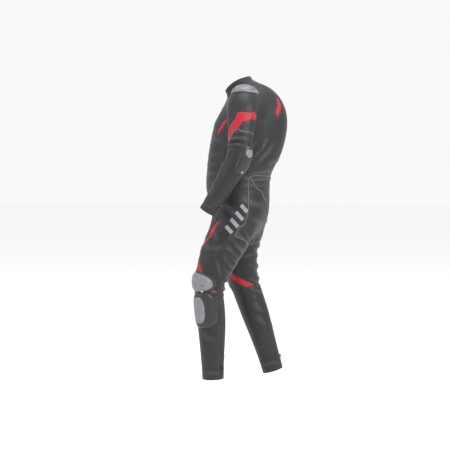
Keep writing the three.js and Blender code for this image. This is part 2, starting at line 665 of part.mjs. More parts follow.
// The largest folds. Each is a ridge along a line of places on a limb: the turn from the front
// towards the outer side, in degrees, and the height. A trough lies along both its sides.
const folds = [
  { limb: "leg", side: "left", rise: 5, wide: 13, line: [[108, 890], [133, 880], [157, 850]] },
  { limb: "leg", side: "left", rise: 6, wide: 13, line: [[104, 866], [133, 838], [157, 807], [178, 775]] },
  { limb: "leg", side: "left", rise: 5, wide: 13, line: [[104, 829], [129, 804], [162, 768]] },
  { limb: "leg", side: "left", rise: 6, wide: 14, line: [[104, 795], [127, 761], [153, 730], [180, 712]] },
  { limb: "leg", side: "left", rise: 5, wide: 13, line: [[98, 761], [116, 722], [138, 672]] },
  { limb: "leg", side: "left", rise: 5, wide: 13, line: [[142, 684], [168, 662], [200, 650], [232, 668]] },
  { limb: "leg", side: "left", rise: 4.5, wide: 12, line: [[148, 622], [178, 606], [214, 610]] },
  { limb: "leg", side: "left", rise: 5, wide: 13, line: [[196, 770], [222, 742], [250, 730]] },
  { limb: "leg", side: "right", rise: 4.5, wide: 13, line: [[120, 850], [150, 826], [184, 806]] },
  { limb: "leg", side: "right", rise: 4.5, wide: 13, line: [[112, 792], [146, 768], [182, 756]] },
  { limb: "leg", side: "right", rise: 4.5, wide: 13, line: [[140, 712], [202, 702], [238, 724]] },
  { limb: "leg", side: "right", rise: 4.5, wide: 13, line: [[138, 652], [211, 632], [246, 656]] },
  { limb: "leg", side: "right", rise: 4, wide: 12, line: [[164, 590], [206, 580], [236, 594]] },
  { limb: "arm", side: "both", rise: 4, wide: 12, line: [[40, 1334], [83, 1347], [122, 1338], [146, 1328]] },
  { limb: "arm", side: "both", rise: 4, wide: 11, line: [[24, 1300], [62, 1314], [100, 1312]] },
  { limb: "arm", side: "both", rise: 4, wide: 12, line: [[-62, 1236], [-20, 1222], [22, 1230]] },
  { limb: "arm", side: "both", rise: 4, wide: 12, line: [[-50, 1192], [-14, 1180], [26, 1186]] },
  { limb: "trunk", side: "both", rise: 4.5, wide: 14, line: [[112, 1176], [135, 1190], [160, 1202]] },
  { limb: "trunk", side: "both", rise: 4, wide: 14, line: [[100, 1128], [128, 1122], [156, 1132]] },
];
const foldSteps = 6; // between two places of a line
function foldLine({ limb, line }, side) {
  const tube = { leg: legs, arm: arms }[limb]?.[side];
  const field = { leg: legDepth(side), arm: tube && ((p) => tube.depth(p)), trunk: pelvisDepth }[limb];
  const made = [];
  for (let i = 0; i <= (line.length - 1) * foldSteps; i++) {
    const k = Math.min(Math.floor(i / foldSteps), line.length - 2);
    const share = i / foldSteps - k;
    const turn = rad(lerp(line[k][0], line[k + 1][0], share));
    const z = lerp(line[k][1], line[k + 1][1], share);
    const centre = tube ? stationAtHeight(tube, z).centre.clone().setZ(z) : V(0, 0, z);
    made.push(cast(centre, V(sides[side] * Math.sin(turn), -Math.cos(turn), 0), field));
  }
  return made;
}
function foldCloth() {
  const away = normalsOf(faces);
  const lifts = points.map(() => 0);
  for (const fold of folds)
    for (const side of fold.side === "both" ? Object.keys(sides) : [fold.side]) {
      const line = foldLine(fold, side);
      points.forEach((p, i) => {
        const d = Math.min(...line.map((q) => q.distanceTo(p))) / fold.wide;
        if (d < 4) lifts[i] += fold.rise * (Math.exp(-d * d) - 0.45 * Math.exp(-((d - 1.9) ** 2)));
      });
    }
  points.forEach((p, i) => p.addScaledVector(away[i], lifts[i]));
}
foldCloth();

points.forEach((p) => p.multiplyScalar(fit));
const origin = V(0, 0, shoulderHeight * fit);
const normals = normalsOf(faces);

function geometry(positions, triangles) {
  const g = new THREE.BufferGeometry();
  const placed = positions.flatMap((p) => p.clone().sub(origin).toArray());
  g.setAttribute("position", new THREE.Float32BufferAttribute(placed, 3));
  g.setIndex(triangles.flat());
  g.computeVertexNormals();
  return g;
}

// A wall over some faces: its rim is drawn back by half a seam gap.
function panelWall(list, thick) {
  const sideOf = new Map();
  for (const { corners } of list)
    corners.forEach((a, i) => {
      const b = corners[(i + 1) % corners.length];
      const key = edgeKey(a, b);
      sideOf.has(key) ? sideOf.delete(key) : sideOf.set(key, [a, b]);
    });
  const rim = [...sideOf.values()];
  const inward = new Map();
  for (const [a, b] of rim) {
    for (const i of [a, b]) {
      const along = at(b).clone().sub(at(a)).normalize();
      const into = normals[i].clone().cross(along).normalize();
      inward.set(i, [...(inward.get(i) ?? []), into]);
    }
  }
  const ids = [...new Set(list.flatMap((f) => f.corners))];
  const own = normalsOf(list);
  const place = new Map(ids.map((id, i) => [id, i]));
  const outer = ids.map((id) => {
    const p = at(id).clone();
    const pulls = inward.get(id);
    if (!pulls) return p;
    const sum = pulls.reduce((s, v) => s.add(v), V());
    const share = Math.max(sum.lengthSq() / pulls.length, 0.35);
    const bend = Math.max(own[id].dot(normals[id]), 0.5); // wider where the seam lies in a crease
    return p.addScaledVector(sum, seamGap / 2 / share / bend ** 2);
  });
  const inner = outer.map((p, i) => p.clone().addScaledVector(normals[ids[i]], -thick));
  const n = ids.length;
  const triangles = [];
  for (const { corners } of list) {
    const [a, b, c, d] = corners.map((i) => place.get(i));
    const flat = d === undefined
      || at(corners[0]).distanceTo(at(corners[2])) <= at(corners[1]).distanceTo(at(corners[3]));
    const pair = flat ? [[a, b, c], [a, c, d]] : [[a, b, d], [b, c, d]];
    if (d === undefined) pair.pop();
    for (const [i, j, k] of pair) triangles.push([i, j, k], [i + n, k + n, j + n]);
  }
  for (const [a, b] of rim.map((e) => e.map((i) => place.get(i))))
    triangles.push([b, a, a + n], [b, a + n, b + n]);
  return geometry([...outer, ...inner], triangles);
}

// Finishes

const leather = { color: 0x26272a, roughness: 0.5, metalness: 0 };
const finishes = {
  leather: new THREE.MeshStandardMaterial(leather),
  stretch: new THREE.MeshStandardMaterial({ ...leather, color: 0x141416, roughness: 0.8 }),
  red: new THREE.MeshStandardMaterial({ ...leather, color: 0xb01626 }),
  armour: new THREE.MeshStandardMaterial({ color: 0x17181a, roughness: 0.25, metalness: 0 }),
  metal: new THREE.MeshStandardMaterial({ color: 0x8c8f94, roughness: 0.3, metalness: 1 }),
};
const stretchPanels = /^(side|thigh_back|gusset|calf|sleeve_inner|waist_band|cuff|collar)/;
const redPanels = /(band_left|band_right|stripe|flash)/;

const suit = new THREE.Group();
function piece(name, made, finish) {
  const mesh = new THREE.Mesh(made, finishes[finish]);
  mesh.name = name;
  suit.add(mesh);
  return mesh;
}
const panelNames = [...new Set(faces.map((f) => f.panel))];
for (const name of panelNames) {
  const list = faces.filter((f) => f.panel === name);
  const finish = redPanels.test(name) ? "red" : stretchPanels.test(name) ? "stretch" : "leather";
  piece(name, panelWall(list, wall), finish);
}

// Armour

// The point and the normal of the cloth at a share of rows and columns of a grid.
function onCloth(grid, row, column) {
  const r = Math.min(Math.floor(row), grid.length - 2);
  const c = Math.min(Math.floor(column), grid[r].length - 2);
  const [v, u] = [row - r, column - c];
  const [p, q, s, t] = [grid[r][c], grid[r][c + 1], grid[r + 1][c + 1], grid[r + 1][c]];
  const weights = at(p).distanceTo(at(s)) <= at(q).distanceTo(at(t))
    ? (u > v ? [[p, 1 - u], [q, u - v], [s, v]] : [[p, 1 - v], [s, u], [t, v - u]])
    : (u + v < 1 ? [[p, 1 - u - v], [q, u], [t, v]] : [[q, 1 - v], [s, u + v - 1], [t, 1 - u]]);
  const mix = (list) => weights.reduce((sum, [i, w]) => sum.addScaledVector(list[i], w), V());
  return { point: mix(points), normal: mix(normals).normalize() };
}

// A domed pad over a rounded patch of the cloth: rows and columns give its middle and its half size.
const padRings = 4;
const padSegments = 28;
function pad(grid, { row, column, rise, profile, lift: [middle, rim], square = 2.6 }) {
  const base = [];
  const top = [];
  for (let i = 0; i <= padRings; i++) {
    const reach = i / padRings;
    for (let j = 0; j < (i === 0 ? 1 : padSegments); j++) {
      const turn = 2 * Math.PI * j / padSegments;
      const [a, b] = [Math.cos(turn), Math.sin(turn)];
      const size = reach / (Math.abs(a) ** square + Math.abs(b) ** square) ** (1 / square);
      const { point, normal } = onCloth(grid, row[0] + row[1] * b * size, column[0] + column[1] * a * size);
      const lift = i === padRings ? rim : middle;
      base.push(point.clone().addScaledVector(normal, lift));
      top.push(point.clone().addScaledVector(normal, lift + rise * profile[i]));
    }
  }
  const n = base.length;
  const ring = (i, j) => i === 0 ? 0 : 1 + (i - 1) * padSegments + j % padSegments;
  const triangles = [];
  for (let j = 0; j < padSegments; j++) {
    triangles.push([0, ring(1, j), ring(1, j + 1)]);
    for (let i = 1; i < padRings; i++) {
      const [p, q, s, t] = [ring(i, j), ring(i + 1, j), ring(i + 1, j + 1), ring(i, j + 1)];
      triangles.push([p, q, s], [p, s, t]);
    }
  }
  const under = triangles.map(([i, j, k]) => [i + n, k + n, j + n]);
  const edge = Array.from({ length: padSegments }, (_, j) => [ring(padRings, j), ring(padRings, j + 1)]);
  const walls = edge.flatMap(([p, q]) => [[p, p + n, q], [q, p + n, q + n]]);
  const shell = [...triangles, ...under, ...walls];
  const [spoke, next] = [0, 1].map((j) => top[ring(1, j)].clone().sub(top[0]));
  const inside = top[0].clone().sub(base[0]).dot(spoke.cross(next)) < 0;
  return geometry([...top, ...base], inside ? shell.map(([i, j, k]) => [i, k, j]) : shell);
}

// Rows and columns: the middle, then the half size. profile: the height from the middle to the rim.
// lift: how far the underside clears the cloth's facets, in the middle and at the rim.
const pads = {
  shoulder_slider: {
    on: "sleeve", row: [1.2, 1], column: [10.1, 2.5], rise: 18,
    profile: [1, 0.96, 0.85, 0.62, 0.2], lift: [4.2, 3],
  },
  elbow_slider: {
    on: "sleeve", row: [9, 2.7], column: [7.2, 1.5], rise: 14,
    profile: [1, 1, 0.9, 0.6, 0.2], lift: [2.6, 1.4],
  },
  knee_cup: {
    on: "leg", row: [13.6, 2.2], column: [5, 4.5], rise: 22,
    profile: [1, 0.97, 0.88, 0.66, 0.2], lift: [3.8, 2.1],
  },
  knee_puck: {
    on: "leg", row: [19.4, 2.6], column: [5.6, 2.7], rise: 28,
    profile: [1, 1, 0.95, 0.45, 0.15], lift: [2.6, 1.4],
  },
};
for (const side of Object.keys(sides))
  for (const [name, shape] of Object.entries(pads))
    piece(`${name}_${side}`, pad((shape.on === "leg" ? legGrid : sleeveGrid)[side], shape), "armour");

// Zip sliders with their pull tabs

// A tab hangs on a square bar that turns in the slider's tunnel. Lengths run down the zip.
const slider = { long: 15, wide: 7, high: 2.2, hole: 1.5, arch: 2.9, axis: 4.1, lift: 0.5 };
const tab = { thick: 1.5, half: 6.2, window: 4.2, windowEnd: 7.4, waist: 4.6, end: 25 };

// Along the zip and up from the cloth, seen from the side; the tunnel is a hole in it.
function sliderShape() {
  const { long, high, hole, arch, axis } = slider;
  const shape = new THREE.Shape();
  shape.moveTo(-long / 2, 0);
  shape.lineTo(long / 2, 0);
  shape.lineTo(long / 2, high * 0.6);
  shape.lineTo(long / 2 - 1, high);
  shape.lineTo(arch, high);
  shape.lineTo(arch, axis);
  shape.absarc(0, axis, arch, 0, Math.PI, false);
  shape.lineTo(-arch, high);
  shape.lineTo(1 - long / 2, high);
  shape.lineTo(-long / 2, high * 0.6);
  shape.holes.push(new THREE.Path().absarc(0, axis, hole, 0, 2 * Math.PI, true));
  return shape;
}
function tabShape() {
  const { thick, half, window, windowEnd, waist, end } = tab;
  const shape = new THREE.Shape();
  shape.moveTo(-half, -thick / 2);
  shape.lineTo(half, -thick / 2);
  shape.lineTo(half, windowEnd);
  shape.lineTo(waist, windowEnd + 4);
  shape.lineTo(waist, end - waist);
  shape.absarc(0, end - waist, waist, 0, Math.PI, false);
  shape.lineTo(-waist, windowEnd + 4);
  shape.lineTo(-half, windowEnd);
  const hole = new THREE.Path();
  hole.moveTo(-window, thick / 2);
  hole.lineTo(-window, windowEnd);
  hole.lineTo(window, windowEnd);
  hole.lineTo(window, thick / 2);
  shape.holes.push(hole);
  return shape;
}
function plate(shape, thick) {
  const made = new THREE.ExtrudeGeometry(shape, { depth: thick, bevelEnabled: false, curveSegments: 6 });
  return made.translate(0, 0, -thick / 2);
}

// Where each slider sits: its place on the cloth and the row just below it.
const zips = {
  front: { grid: frontBlock, row: 4.6, below: 4, column: 7 },
  cuff_left: { grid: sleeveGrid.left, row: 16.4, below: 17, column: 7 },
  cuff_right: { grid: sleeveGrid.right, row: 16.4, below: 17, column: 7 },
  calf_left: { grid: legGrid.left, row: 26, below: 26.8, column: 12 },
  calf_right: { grid: legGrid.right, row: 26, below: 26.8, column: 12 },
};
for (const [name, { grid, row, below, column }] of Object.entries(zips)) {
  const { point, normal } = onCloth(grid, row, column);
  const down = onCloth(grid, below, column).point.sub(point);
  down.addScaledVector(normal, -down.dot(normal)).normalize();
  const across = down.clone().cross(normal);
  const seat = point.clone().addScaledVector(normal, slider.lift).sub(origin);
  const body = plate(sliderShape(), slider.wide);
  body.applyMatrix4(new THREE.Matrix4().makeBasis(down, normal, across).setPosition(seat));
  piece(`zip_slider_${name}`, body, "metal");
  const axis = seat.clone().addScaledVector(normal, slider.axis);
  const pull = plate(tabShape(), tab.thick);
  pull.applyMatrix4(new THREE.Matrix4().makeBasis(across, down, across.clone().cross(down)).setPosition(axis));
  piece(`zip_pull_${name}`, pull, "metal");
}

export default suit;
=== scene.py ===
# %% [markdown]
# This lesson dresses a one-piece race suit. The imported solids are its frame: every panel of leather
# and stretch cloth is there as a coarse wall, and so are the armour and the zips. The solids are
# loaded first, and their box is kept, because the finished suit has to stay inside it.

# %% Load the frame
import math

import bmesh
import bpy
import numpy as np
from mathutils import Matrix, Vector
from mathutils.bvhtree import BVHTree
from mathutils.kdtree import KDTree


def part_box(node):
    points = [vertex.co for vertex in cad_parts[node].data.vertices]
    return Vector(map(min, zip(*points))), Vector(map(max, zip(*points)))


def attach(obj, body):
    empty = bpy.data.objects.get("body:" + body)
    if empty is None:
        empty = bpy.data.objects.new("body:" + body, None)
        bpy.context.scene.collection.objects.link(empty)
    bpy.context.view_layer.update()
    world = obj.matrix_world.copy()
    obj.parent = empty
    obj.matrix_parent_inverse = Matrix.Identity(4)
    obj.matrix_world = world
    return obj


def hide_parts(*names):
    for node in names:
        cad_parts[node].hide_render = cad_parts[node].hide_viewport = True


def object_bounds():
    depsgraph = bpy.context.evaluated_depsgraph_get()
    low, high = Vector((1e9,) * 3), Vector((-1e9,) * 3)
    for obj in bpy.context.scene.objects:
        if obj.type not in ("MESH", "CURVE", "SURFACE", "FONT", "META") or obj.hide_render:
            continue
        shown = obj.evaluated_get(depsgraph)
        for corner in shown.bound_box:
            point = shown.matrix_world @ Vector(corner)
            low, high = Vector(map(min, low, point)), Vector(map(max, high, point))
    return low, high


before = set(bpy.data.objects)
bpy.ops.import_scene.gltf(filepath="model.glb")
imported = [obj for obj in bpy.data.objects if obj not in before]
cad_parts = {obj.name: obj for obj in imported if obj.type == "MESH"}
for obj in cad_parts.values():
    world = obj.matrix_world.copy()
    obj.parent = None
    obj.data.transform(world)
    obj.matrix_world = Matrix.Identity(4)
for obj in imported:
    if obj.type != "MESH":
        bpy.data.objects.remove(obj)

cad_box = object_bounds()
mm = 0.001
sides = ("left", "right")
print("the solids' box in mm:", [[round(x / mm) for x in corner] for corner in cad_box])

# %% [markdown]
# The photograph looks at the suit's left side and a little at its back, from about chest height and
# four metres away. A long lens keeps the legs and the head end at nearly one scale. The camera is
# set from those facts: its heading, its distance and how far it looks down.

# %% The camera
heading = math.radians(104)
looks_down = math.radians(3.2)
towards_camera = Vector((math.sin(heading), -math.cos(heading), 0))
camera_data = bpy.data.cameras.new("camera")
camera_data.sensor_width = 36
camera_data.lens = 71.8
camera = bpy.data.objects.new("camera", camera_data)
camera.location = (4.256, 0.967, -0.317)
forward = -towards_camera * math.cos(looks_down) + Vector((0, 0, -math.sin(looks_down)))
camera.rotation_mode = "QUATERNION"
camera.rotation_quaternion = forward.to_track_quat("-Z", "Y")
bpy.context.scene.collection.objects.link(camera)
bpy.context.scene.camera = camera
print("the camera is", round(camera.location.length, 2), "m from the suit's origin")

# %% [markdown]
# A studio floor is pale and plain. It lies where the soles would stand, so the suit hangs just
# above it and throws only a faint shadow.

# %% The floor
floor_height = cad_box[0].z - 148 * mm
bpy.ops.object.select_all(action="DESELECT")
bpy.ops.mesh.primitive_plane_add(size=60, location=(0, 0, floor_height))
floor = bpy.context.active_object
floor.name = "floor"
floor_paint = bpy.data.materials.new("floor_paint")
floor_paint.use_nodes = True
floor_shader = floor_paint.node_tree.nodes["Principled BSDF"]
floor_shader.inputs["Base Color"].default_value = (0.97, 0.97, 0.97, 1)
floor_shader.inputs["Roughness"].default_value = 0.9
floor.data.materials.append(floor_paint)
print("the floor lies at", round(floor_height / mm), "mm")

# %% [markdown]
# Dark leather shows its shape by what it mirrors. So the light comes from broad soft panels: a key
# behind the suit's left shoulder, which greys the back and the seat, a fill from the front, and one
# overhead for the shoulders. The pale room does the rest.

# %% The lights
def soft_light(name, place, width, power):
    """A square studio light that looks at the middle of the suit."""
    data = bpy.data.lights.new(name, "AREA")
    data.shape = "SQUARE"
    data.size = width
    data.energy = power
    light = bpy.data.objects.new(name, data)
    light.location = place
    light.rotation_mode = "QUATERNION"
    light.rotation_quaternion = (Vector((0, 0, -0.6)) - Vector(place)).to_track_quat("-Z", "Y")
    bpy.context.scene.collection.objects.link(light)
    return light


soft_light("key_light", (2.4, 3.2, 1.6), 1.8, 120)
soft_light("fill_light", (2.6, -3.4, 0.8), 2.6, 34)
soft_light("top_light", (0.4, 0.3, 3.2), 2.2, 70)
room = bpy.data.worlds.new("room")
room.use_nodes = True
room.node_tree.nodes["Background"].inputs["Color"].default_value = (1, 1, 1, 1)
room.node_tree.nodes["Background"].inputs["Strength"].default_value = 0.95
bpy.context.scene.world = room
bpy.context.scene.view_settings.view_transform = "Standard"

# %% [markdown]
# The panels' solids are walls with an outer side, an inner side and a narrow rim. The sewn suit
# needs the outer sides alone, all in one mesh, so that a fold can run across a seam without a step.
# Each wall is copied, its loose triangles are merged, and its faces are sorted into patches that end
# where the surface turns sharply. The largest patch is the outer side.

# %% Take the outer side of each panel
hard_starts = ("shoulder_slider", "elbow_slider", "knee_cup", "knee_puck", "zip_slider", "zip_pull")
panel_names = sorted(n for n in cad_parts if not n.startswith(hard_starts))
rim_turn = math.radians(48)


def smooth_patches(work):
    """The mesh's faces in patches, each bounded by sharp turns."""
    left = set(work.faces)
    patches = []
    for start in work.faces:
        if start not in left:
            continue
        left.remove(start)
        found = [start]
        for face in found:
            for edge in face.edges:
                if len(edge.link_faces) == 2 and edge.calc_face_angle() < rim_turn:
                    for other in edge.link_faces:
                        if other in left:
                            left.remove(other)
                            found.append(other)
        patches.append(found)
    return patches


def outer_side(node):
    """Points and triangles of the outer side of a panel's wall."""
    work = bmesh.new()
    work.from_mesh(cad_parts[node].data)
    bmesh.ops.remove_doubles(work, verts=work.verts, dist=0.02 * mm)
    patch = max(smooth_patches(work), key=lambda faces: sum(f.calc_area() for f in faces))
    corners = sorted({v for f in patch for v in f.verts}, key=lambda v: v.index)
    place = {v: i for i, v in enumerate(corners)}
    points = [v.co.copy() for v in corners]
    triangles = [[place[v] for v in f.verts] for f in patch]
    work.free()
    return points, triangles


all_points, all_faces, face_panel = [], [], []
for number, name in enumerate(panel_names):
    points, triangles = outer_side(name)
    start = len(all_points)
    all_points += points
    all_faces += [[start + i for i in t] for t in triangles]
    face_panel += [number] * len(triangles)
print(len(panel_names), "panels,", len(all_faces), "triangles")

# %% [markdown]
# Where two panels meet, their rims stand a little apart. For the sewn suit they are welded, so that
# neighbours share one row of points. Only the rims are welded, because inside a panel the points
# are where they belong. Five loops must stay open: the neck, the two cuffs and the two leg ends.

# %% Weld the panels
weld_reach = 4 * mm
cloth = bmesh.new()
corners = [cloth.verts.new(p) for p in all_points]
for triangle, number in zip(all_faces, face_panel):
    cloth.faces.new([corners[i] for i in triangle]).material_index = number
rims = [v for v in cloth.verts if v.is_boundary]
bmesh.ops.remove_doubles(cloth, verts=rims, dist=weld_reach)
bmesh.ops.join_triangles(
    cloth, faces=cloth.faces[:], cmp_materials=True,
    angle_face_threshold=math.radians(50), angle_shape_threshold=math.radians(60),
)
open_edges = [e for e in cloth.edges if e.is_boundary]
four_sided = sum(len(f.verts) == 4 for f in cloth.faces)
print(len(cloth.faces), "faces,", four_sided, "four-sided,", len(open_edges), "open edges")

# %% [markdown]
# A maker cuts each panel flat. To know its flat size, the panel is unwrapped: its seams are marked,
# a panel that closes to a ring is also slit from edge to edge, and the unwrap lays each one out
# with little stretching. The same layout carries the ribs and the weave, so they follow the cloth.

# %% Lay each panel out flat
def panels_of(edge):
    return {f.material_index for f in edge.link_faces}


def slit_ring(number):
    """Marks a way across a ring-shaped panel, from one of its edges to the other."""
    faces = [f for f in cloth.faces if f.material_index == number]
    own_edges = {e for f in faces for e in f.edges}
    rim_edges = {e for e in own_edges if len(e.link_faces) < 2 or len(panels_of(e)) > 1}
    loops = []
    left = set(rim_edges)
    for first in sorted(rim_edges, key=lambda e: e.index):
        if first not in left:
            continue
        left.remove(first)
        loop = [first]
        for edge in loop:
            near = [e for v in edge.verts for e in v.link_edges if e in left]
            left.difference_update(near)
            loop += near
        loops.append({v for e in loop for v in e.verts})
    if len(loops) < 2:
        return 0
    start, goals = loops[0], set().union(*loops[1:])
    back_to = {v: None for v in start}  # each point, and the step that reached it
    queue = sorted(start, key=lambda v: v.index)
    for v in queue:
        if v in goals:
            break
        for e in v.link_edges:
            w = e.other_vert(v)
            if e in own_edges and w not in back_to:
                back_to[w] = (v, e)
                queue.append(w)
    steps = 0
    while back_to[v]:
        v, e = back_to[v]
        e.seam = True
        steps += 1
    return steps


cloth.verts.index_update()
cloth.edges.index_update()
for edge in cloth.edges:
    edge.seam = len(panels_of(edge)) > 1
slit = {panel_names[n]: slit_ring(n) for n in range(len(panel_names))}
print("slit rings:", sorted(name for name, steps in slit.items() if steps))
mesh = bpy.data.meshes.new("whole_cloth")
cloth.to_mesh(mesh)
cloth.free()
whole = bpy.data.objects.new("whole_cloth", mesh)
bpy.context.scene.collection.objects.link(whole)
mesh.uv_layers.new(name="cut")
bpy.ops.object.select_all(action="DESELECT")
whole.select_set(True)
bpy.context.view_layer.objects.active = whole
bpy.ops.object.mode_set(mode="EDIT")
bpy.ops.mesh.select_all(action="SELECT")
bpy.ops.uv.unwrap(method="ANGLE_BASED", margin=0.001)
bpy.ops.object.mode_set(mode="OBJECT")
print("laid out", len(mesh.polygons), "faces")

# %% [markdown]
# The layout comes out in arbitrary units. Each panel's part of it is scaled until its area is the
# cloth's own, and turned until it fits the smallest rectangle. That rectangle is the piece of
# leather or stretch cloth that the panel is cut from.

# %% Scale the layout to real size
def layout_arrays(mesh):
    """Loop starts, loop counts, panel numbers, corner points and layout points of all faces."""
    loops = np.empty(len(mesh.loops), int)
    mesh.loops.foreach_get("vertex_index", loops)
    points = np.empty(len(mesh.vertices) * 3)
    mesh.vertices.foreach_get("co", points)
    flat = np.empty(len(mesh.loops) * 2)
    mesh.uv_layers["cut"].data.foreach_get("uv", flat)
    starts = np.array([p.loop_start for p in mesh.polygons])
    counts = np.array([p.loop_total for p in mesh.polygons])
    numbers = np.array([p.material_index for p in mesh.polygons])
    return starts, counts, numbers, points.reshape(-1, 3)[loops], flat.reshape(-1, 2)


def fan_area(corners):
    """The area of one face, in space or on the layout."""
    total = 0.0
    for a, b in zip(corners[1:], corners[2:]):
        u, v = a - corners[0], b - corners[0]
        total += math.sqrt(max(u.dot(u) * v.dot(v) - u.dot(v) ** 2, 0)) / 2
    return total


cuts = {}
starts, counts, numbers, corner_points, flat_points = layout_arrays(mesh)
for number, name in enumerate(panel_names):
    mine = np.flatnonzero(numbers == number)
    real = sum(fan_area(corner_points[starts[i]:starts[i] + counts[i]]) for i in mine)
    laid = sum(fan_area(flat_points[starts[i]:starts[i] + counts[i]]) for i in mine)
    loops = np.concatenate([np.arange(starts[i], starts[i] + counts[i]) for i in mine])
    flat = flat_points[loops] * math.sqrt(real / laid)
    best = None
    for turn in range(0, 90, 3):
        c, s = math.cos(math.radians(turn)), math.sin(math.radians(turn))
        turned = flat @ np.array([[c, s], [-s, c]])
        size = turned.max(0) - turned.min(0)
        if best is None or size[0] * size[1] < best[0]:
            best = (size[0] * size[1], turned - turned.min(0), size)
    flat_points[loops] = best[1]
    width, length = sorted(float(x) for x in best[2])
    cuts[name] = {"flat": (width, length), "area": real}
mesh.uv_layers["cut"].data.foreach_set("uv", flat_points.ravel())
for name, cut in cuts.items():
    width, length = cut["flat"]
    print(f"{name}: {width / mm:.0f} x {length / mm:.0f} mm, {cut['area'] * 1e4:.0f} cm2,",
          f"fill {cut['area'] / (width * length):.2f}")

# %% [markdown]
# The welded cloth is coarse. Subdivision rounds it off to faces about 3 mm across, fine enough for
# soft creases, and rounds the layout with it. The subdivided mesh is used only as arrays from here
# on, so it is read once and the helper object goes.

# %% Round the cloth
round_levels = 3
rounding = whole.modifiers.new("rounding", "SUBSURF")
rounding.levels = round_levels
rounding.render_levels = round_levels
rounding.boundary_smooth = "ALL"
bpy.ops.object.modifier_apply(modifier="rounding")
fine = whole.data
points = np.empty(len(fine.vertices) * 3)
fine.vertices.foreach_get("co", points)
points = points.reshape(-1, 3)
normals = np.empty(len(fine.vertices) * 3)
fine.vertex_normals.foreach_get("vector", normals)
normals = normals.reshape(-1, 3)
face_corners = np.empty(len(fine.loops), int)
fine.loops.foreach_get("vertex_index", face_corners)
face_corners = face_corners.reshape(-1, 4)
face_numbers = np.empty(len(fine.polygons), int)
fine.polygons.foreach_get("material_index", face_numbers)
flat_corners = np.empty(len(fine.loops) * 2)
fine.uv_layers["cut"].data.foreach_get("uv", flat_corners)
flat_corners = flat_corners.reshape(-1, 4, 2)
surface = BVHTree.FromPolygons(points.tolist(), face_corners.tolist())
bpy.data.objects.remove(whole)
bpy.data.meshes.remove(fine)
print(len(points), "points,", len(face_corners), "faces")

# %% [markdown]
# Creases, stitches and armour are all placed on the limbs. A place on a limb is told by two plain
# numbers: the turn in degrees, from the front towards the outer side, and the height in millimetres
# below the shoulders. A ray from the limb's middle line finds the cloth there.

# %% Find a place on a limb
# The middle lines, as x, y and height in mm. The right arm mirrors the left one; the legs differ.
middle_lines = {
    "trunk_left": [(0, -10, 60), (0, -10, -700)],
    "arm_left": [
        (177, 41, 35), (217, 43, -12), (235, 43, -105), (248, 41, -177), (258, 31, -243),
        (261, -4, -310), (259, -56, -396), (255, -114, -490),
    ],
    "leg_left": [
        (85, -14, -495), (91, -39, -582), (103, -93, -700), (113, -130, -795), (116, -146, -867),
        (119, -139, -941), (123, -132, -1028), (128, -126, -1135), (132, -120, -1300),
    ],
    "leg_right": [
        (-85, -14, -495), (-89, -25, -582), (-95, -45, -689), (-101, -33, -786), (-107, -17, -865),
        (-110, 8, -941), (-113, 37, -1028), (-118, 74, -1135), (-124, 124, -1300),
    ],
}
for limb in ("trunk", "arm"):
    middle_lines[f"{limb}_right"] = [(-x, y, z) for x, y, z in middle_lines[f"{limb}_left"]]


def middle_at(limb, height):
    """The limb's middle at a height, in metres."""
    line = np.array(middle_lines[limb][::-1], float)
    return Vector(
        [float(np.interp(height, line[:, 2], line[:, i])) * mm for i in range(2)] + [height * mm]
    )


def turned(limb, turn):
    """The level direction of a turn on a limb."""
    sign = -1 if limb.endswith("right") else 1
    return Vector((sign * math.sin(math.radians(turn)), -math.cos(math.radians(turn)), 0))


def on_cloth(limb, turn, height):
    """The cloth's point and outward normal at a place on a limb."""
    point, normal, _, _ = surface.ray_cast(middle_at(limb, height), turned(limb, turn))
    if point is None:
        raise ValueError(f"no cloth at {limb} {turn} {height}")
    return point, normal


def run_on_cloth(limb, places, step=4 * mm):
    """Points and normals along a line of places, about a step apart."""
    made = []
    for (turn, height), (next_turn, next_height) in zip(places, places[1:]):
        ends = [on_cloth(limb, turn, height)[0], on_cloth(limb, next_turn, next_height)[0]]
        count = max(2, round((ends[1] - ends[0]).length / step))
        made += [
            on_cloth(
                limb,
                turn + (next_turn - turn) * i / count,
                height + (next_height - height) * i / count,
            )
            for i in range(count)
        ]
    made.append(on_cloth(limb, *places[-1]))
    return made


print("the left knee's front is at", [round(x / mm) for x in on_cloth("leg_left", 0, -867)[0]])
